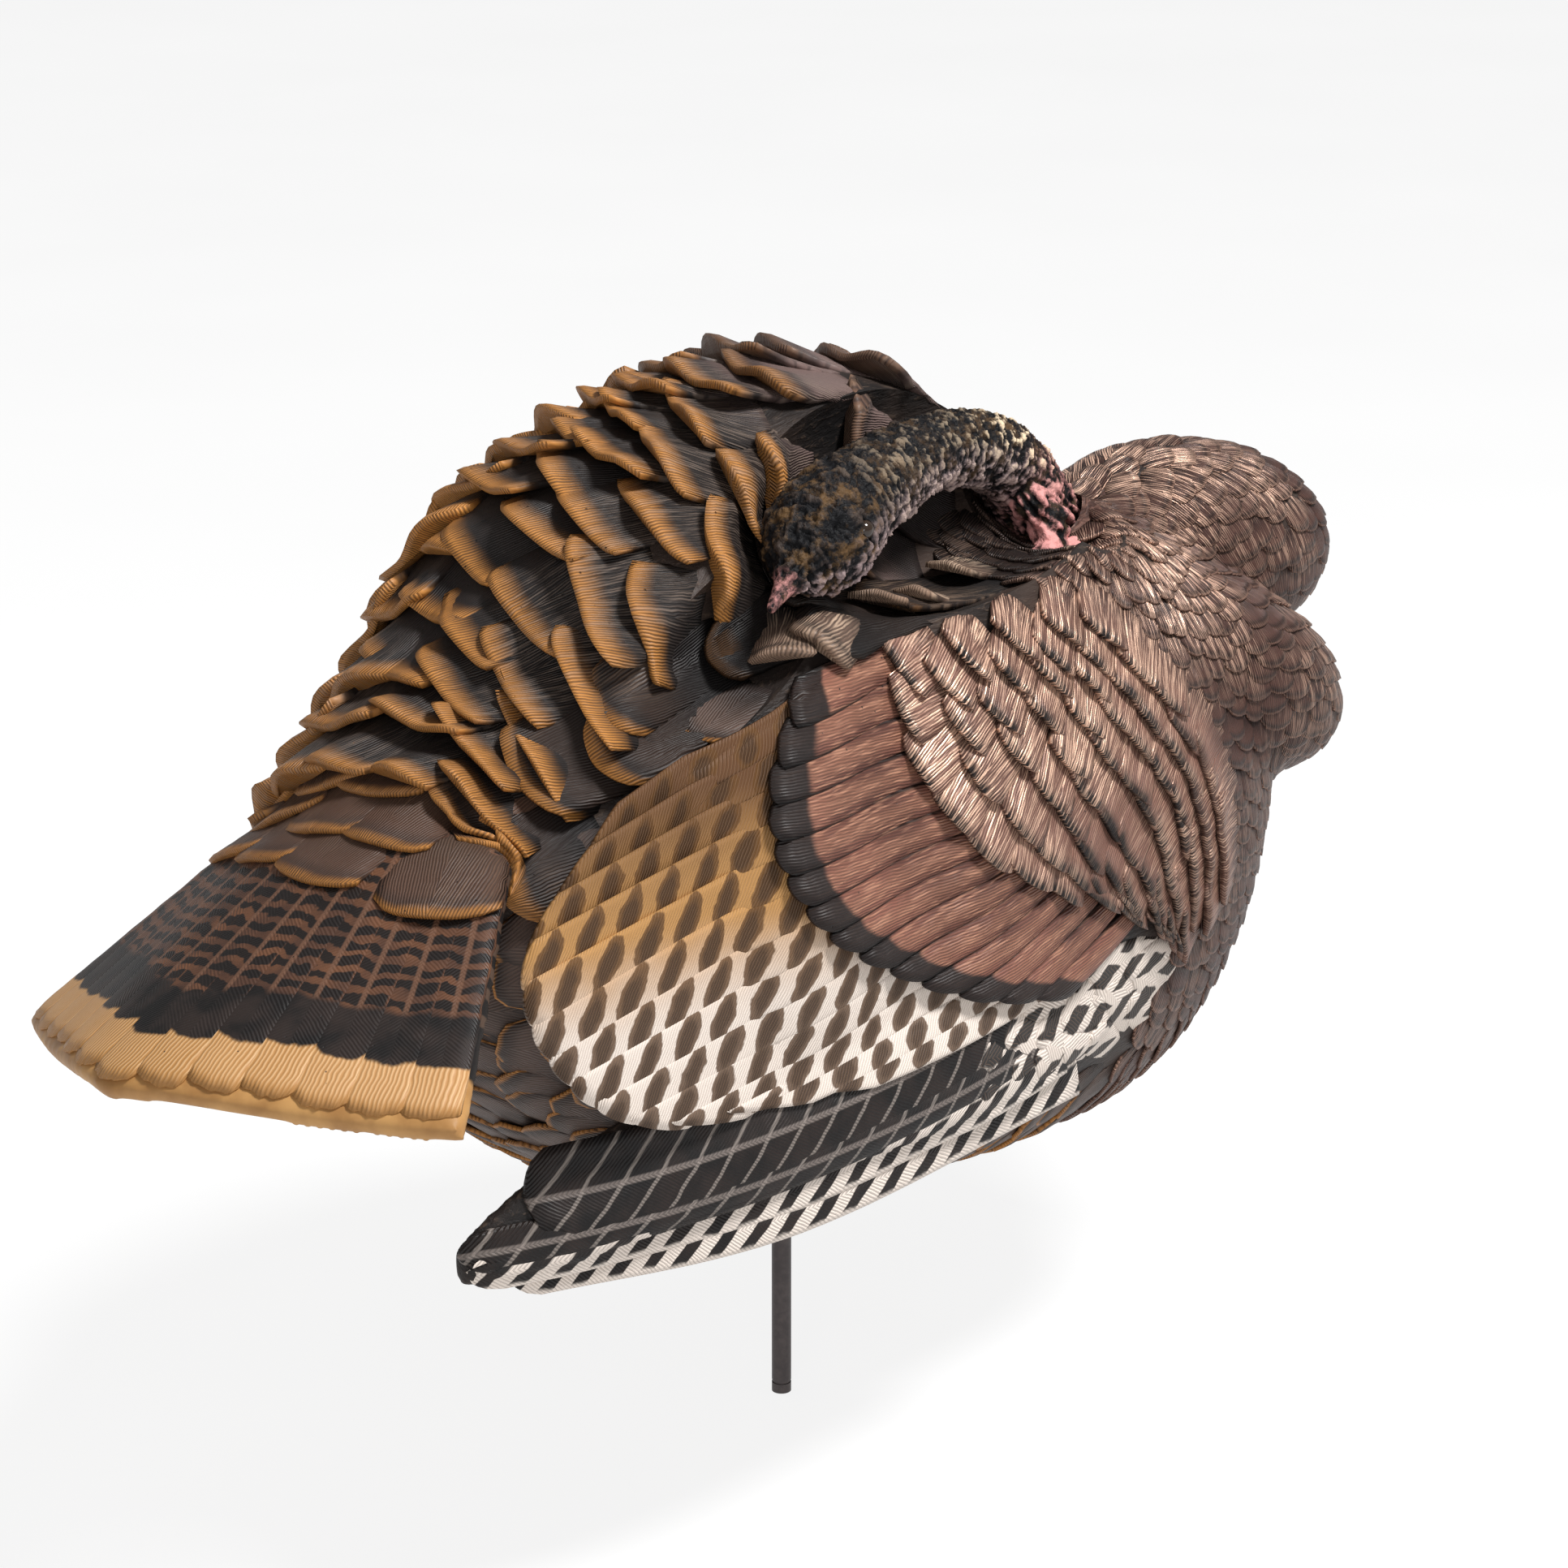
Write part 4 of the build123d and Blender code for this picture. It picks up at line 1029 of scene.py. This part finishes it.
def sculpted_head():
    """The CAD head remeshed finely, with hair-like tufts, wrinkles and caruncles raised on it."""
    draft = joined(["head_neck"])
    for centre, radius in (*WATTLES, BROW):
        ball = bmesh.ops.create_icosphere(draft, subdivisions=3, radius=radius * MM)
        bmesh.ops.translate(draft, verts=ball["verts"], vec=Vector(centre) * MM)
    made = remeshed(as_mesh(draft, "head_draft"), 0.0009, 14)
    samples = np.array([curve_at(NECK_LINE, k / 80) for k in range(81)])
    arc = np.concatenate([[0], np.cumsum(np.linalg.norm(np.diff(samples, axis=0), axis=1))])
    forward = np.gradient(samples, axis=0)
    forward /= np.linalg.norm(forward, axis=1)[:, None]
    line = tree_of(samples)
    tint, relief, moved = [], [], []
    for vertex in made.vertices:
        p = np.array(vertex.co) / MM
        n = np.array(vertex.normal)
        k = line.find(Vector(p))[1]
        along = arc[k] + (p - samples[k]).dot(forward[k])
        across = p - samples[k]
        across -= forward[k] * across.dot(forward[k])
        size = np.linalg.norm(across) + 1e-6
        up, near_side = across[2] / size, -across[1] / size
        around = math.atan2(across[1], across[2]) * 15
        tuft = noise.fractal(Vector((along / 5.5, around / 3.2, 3.0)), 0.7, 2.2, 4)
        fold = (noise.noise(Vector((along / 1.9, around / 9, 7.0)))
                + 0.5 * noise.noise(Vector((along / 0.9, around / 5, 1.0))))
        lump = noise.fractal(Vector(p / 4.5), 0.8, 2.0, 3)
        strand = noise.noise(Vector((around / 1.8 + along / 14, along / 16, 5.0)))
        start = held((along - 5) / 12)
        bend = math.exp(-((along - 62) / 36) ** 2)
        crop_side = held(near_side * 1.4 + 0.35)
        wattle = math.exp(-((along - 26) / 26) ** 2) * crop_side * held(0.9 - up)
        closest = min(np.linalg.norm(p - np.array(c)) - r for c, r in WATTLES)
        wattle = max(wattle, held(1 - closest / 3.0))
        beak = held((along - BEAK_START) / 5)
        face = held((along - FACE_START) / 25) * (1 - beak)
        side_folds = held(near_side + 0.4) * (1 - wattle) * (1 - beak)
        rise = (tuft * 0.9 * (1 - beak) * (1 - 0.6 * wattle)
                + fold * (0.55 + 0.7 * side_folds) * (1 - beak) * (1 - wattle)
                + (strand * 2.0 + lump * 0.7) * wattle + lump * 0.5 * face)
        dent = sum(depth * max(0.0, 1 - ((p - np.array(c)) ** 2).sum() / r ** 2) for c, r, depth in DENTS)
        moved.append(p + n * ((rise * 1.6 - 0.3) * start - dent) - across * 0.22 * beak)
        under = held(0.35 - up) * side_folds
        # the dents lower the relief that the paint reads, so they come out darker: painted shade
        relief.append((0.5 + 0.33 * rise - 0.3 * dent, under, 0.0))
        # tint: pink, ochre, then cream painted highlight on the upper, near side of the bend and on the near side
        # folds, where the light falls
        tint.append((min(1.0, wattle * 1.3 + beak),
                     min(1.0, 0.35 + 0.5 * bend * max(up, 0) + 0.45 * face),
                     min(1.0, bend * 1.2 * max(up + 0.4, 0) * max(near_side + 0.3, 0)
                         + 0.2 * side_folds * (1 - face))))
    made.vertices.foreach_set("co", (np.array(moved) * MM).ravel())
    store(made, tint=tint, relief=relief)
    add_piece("head_and_neck", made, head_paint(), "head", "head_neck")


sculpted_head()


# ---------------------------------------------------------------- pieces and materials

# the last colour given to each feather paint is its glint, a painted highlight
lesser_paint = feather_paint("lesser_paint", (0.08, 0.038, 0.028), (0.2, 0.1, 0.074), BLACK, (0.85, 0.55, 0.4),
                             edge_width=5.0, dark_width=2.0, edge_gain=1.8, dark_gain=0.25, shaft_share=0.08,
                             glint_gain=1.0, roughness=0.42, metallic=0.5, shine_metal=0.12, shine_from=0.3,
                             shine_level=(0.2, 0.3), tip_start=0.7, mark_only=True, fade=(0.14, 0.1))
back_paint = feather_paint("back_paint", BLACK, SOOT, ORANGE, (0.2, 0.15, 0.12), edge_width=11.0, edge_gain=1.05,
                           glint_gain=0.5, bump=0.7, fade=(0.02, -0.05), plain=(0.18, 0.12, 0.108),
                           hollows=[SHADE_UNDER_NECK])
rump_paint = feather_paint("rump_paint", UMBER, (0.08, 0.042, 0.028), ORANGE, (0.28, 0.17, 0.11), edge_width=5.0,
                           dark_width=6.0, edge_gain=0.8, dark_gain=0.35, shaft_share=0.15)
groove_paint = feather_paint("groove_paint", BLACK, (0.028, 0.017, 0.013), ORANGE, (0.24, 0.16, 0.11),
                             edge_width=8.0, edge_gain=0.8, shaft_share=0.15, glint_gain=0.4, fade=(-0.06, -0.11),
                             hollows=[SHADE_BEHIND_BILL, SHADE_UNDER_NECK])
loose_paint = feather_paint("loose_paint", BLACK, (0.13, 0.082, 0.06), (0.3, 0.19, 0.13), (0.5, 0.36, 0.26),
                            edge_width=5.0, dark_width=4.0, edge_gain=0.7, glint_gain=0.8)
crop_paint = feather_paint("crop_paint", (0.028, 0.014, 0.012), (0.085, 0.04, 0.031), (0.24, 0.13, 0.095),
                           (0.9, 0.58, 0.43), edge_width=1.8, dark_width=2.5, edge_gain=0.8, shaft_share=0.05,
                           period=1.0, glint_gain=1.0, roughness=0.4, bump=0.8, metallic=0.5, shine_metal=0.12,
                           shine_from=0.38, shine_level=(0.25, 0.35), hollows=[SHADE_UNDER_NECK])
belly_paint = feather_paint("belly_paint", SOOT, (0.09, 0.058, 0.046), ORANGE, (0.2, 0.14, 0.11), edge_width=2.4,
                            dark_width=7.0, edge_gain=0.75, shaft_share=0.3, fan_share=0.9)
FINISHES = {
    "body_skin": skin_paint("body_skin_paint"),
    "wing_skin": skin_paint("wing_skin_paint"),
    "tail_skin": tail_core_paint(),
    "eye_gloss": plain_paint("eye_gloss", (0.012, 0.008, 0.006), (0.03, 0.017, 0.01), 0.12, 60.0, 0.02),
    "black_plastic": plain_paint("black_plastic", (0.02, 0.02, 0.022), (0.032, 0.031, 0.033), 0.45),
    "zinc_steel": plain_paint("zinc_steel", (0.42, 0.42, 0.43), (0.52, 0.52, 0.54), 0.38, metallic=1.0),
    "plug_rubber": plain_paint("plug_rubber", (0.025, 0.024, 0.024), (0.04, 0.038, 0.037), 0.75),
    "washer_nylon": plain_paint("washer_nylon", (0.62, 0.6, 0.55), (0.7, 0.68, 0.63), 0.4),
    "stake_steel": plain_paint("stake_steel", (0.045, 0.036, 0.036), (0.075, 0.06, 0.058), 0.5, 400.0, 0.25, 0.35),
}

tail.piece(tail_paint(), "tail_skin")
for flock, paint in ((secondaries, secondary_paint()), (primaries, primary_paint()), (leading, leading_paint()),
                     (greater, covert_paint()), (lesser, lesser_paint)):
    flock.piece(paint, "wing_skin")
for flock, paint in ((hump, back_paint), (rump, rump_paint), (groove, groove_paint), (loose, loose_paint),
                     (crop, crop_paint), (belly, belly_paint)):
    flock.piece(paint, "body_skin")

# copies of CAD nodes with their edges rounded as a moulding's are; they stand for the nodes
for node, voxel, smoothing, slot in (("tail_fan", 0.002, 30, "tail_skin"), ("right_wing_tip", 0.0022, 5, "wing_skin"),
                                     ("left_wing_tip", 0.0022, 5, "wing_skin")):
    copied = remeshed(frame["nodes"][node].data.copy(), voxel, smoothing)
    add_piece(node + "_rounded", copied, FINISHES[slot], "decoy", node)
for row in frame["record"]["subparts"]:
    if row["material_slot"] in FINISHES:
        materials = frame["nodes"][row["node"]].data.materials
        materials.clear()
        materials.append(FINISHES[row["material_slot"]])


# ---------------------------------------------------------------- floor, light and camera


FLOOR = 60.0  # half the floor's width, far enough out for its edge to stay near the horizon


def stage_floor():
    mesh = bpy.data.meshes.new("floor")
    corners = [(-FLOOR, -FLOOR, 0), (FLOOR, -FLOOR, 0), (FLOOR, FLOOR, 0), (-FLOOR, FLOOR, 0)]
    mesh.from_pydata(corners, [], [(0, 1, 2, 3)])
    paint = Paint("floor_paint")
    tone = paint.mix(paint.noise(3.0, 2.0), (0.93, 0.93, 0.93), (0.96, 0.96, 0.96))
    shaded = paint.node("ShaderNodeBsdfDiffuse", Color=tone)
    glow = paint.node("ShaderNodeEmission", Color=tone, Strength=1.12)
    both = paint.node("ShaderNodeMixShader")
    for socket, value in zip(both.inputs, (0.8, shaded.outputs[0], glow.outputs[0])):
        connect(paint.tree, socket, value)
    paint.node("ShaderNodeOutputMaterial", Surface=both.outputs[0])
    mesh.materials.append(paint.material)
    thing = bpy.data.objects.new("floor", mesh)
    bpy.context.scene.collection.objects.link(thing)


def area_light(name, place, target, size, watts):
    light = bpy.data.lights.new(name, "AREA")
    light.shape = "DISK"
    light.size = size
    light.energy = watts
    thing = bpy.data.objects.new(name, light)
    thing.location = place
    thing.rotation_euler = (Vector(target) - Vector(place)).to_track_quat("-Z", "Y").to_euler()
    bpy.context.scene.collection.objects.link(thing)


stage_floor()
world = bpy.data.worlds.new("studio")
world.use_nodes = True
world.node_tree.nodes["Background"].inputs["Color"].default_value = (1, 1, 1, 1)
world.node_tree.nodes["Background"].inputs["Strength"].default_value = 0.3
bpy.context.scene.world = world
bpy.context.scene.view_settings.view_transform = "Standard"
area_light("key", (0.25, -1.0, 2.2), (0.0, 0.0, 0.3), 0.6, 70)
area_light("fill", (-1.9, -1.7, 1.0), (0.0, 0.0, 0.25), 1.2, 16)

AZIMUTH, ELEVATION, DISTANCE = math.radians(-45), math.radians(18), 1.72
TARGET = Vector((0, 0, 0.2633))
back = Vector((math.sin(AZIMUTH) * math.cos(ELEVATION), -math.cos(AZIMUTH) * math.cos(ELEVATION), math.sin(ELEVATION)))
camera_data = bpy.data.cameras.new("camera")
camera_data.lens = 100
camera_data.sensor_width = 36
camera_data.shift_x = 0.0016
camera = bpy.data.objects.new("camera", camera_data)
camera.location = TARGET + back * DISTANCE
camera.rotation_euler = (-back).to_track_quat("-Z", "Y").to_euler()
bpy.context.scene.collection.objects.link(camera)
bpy.context.scene.camera = camera
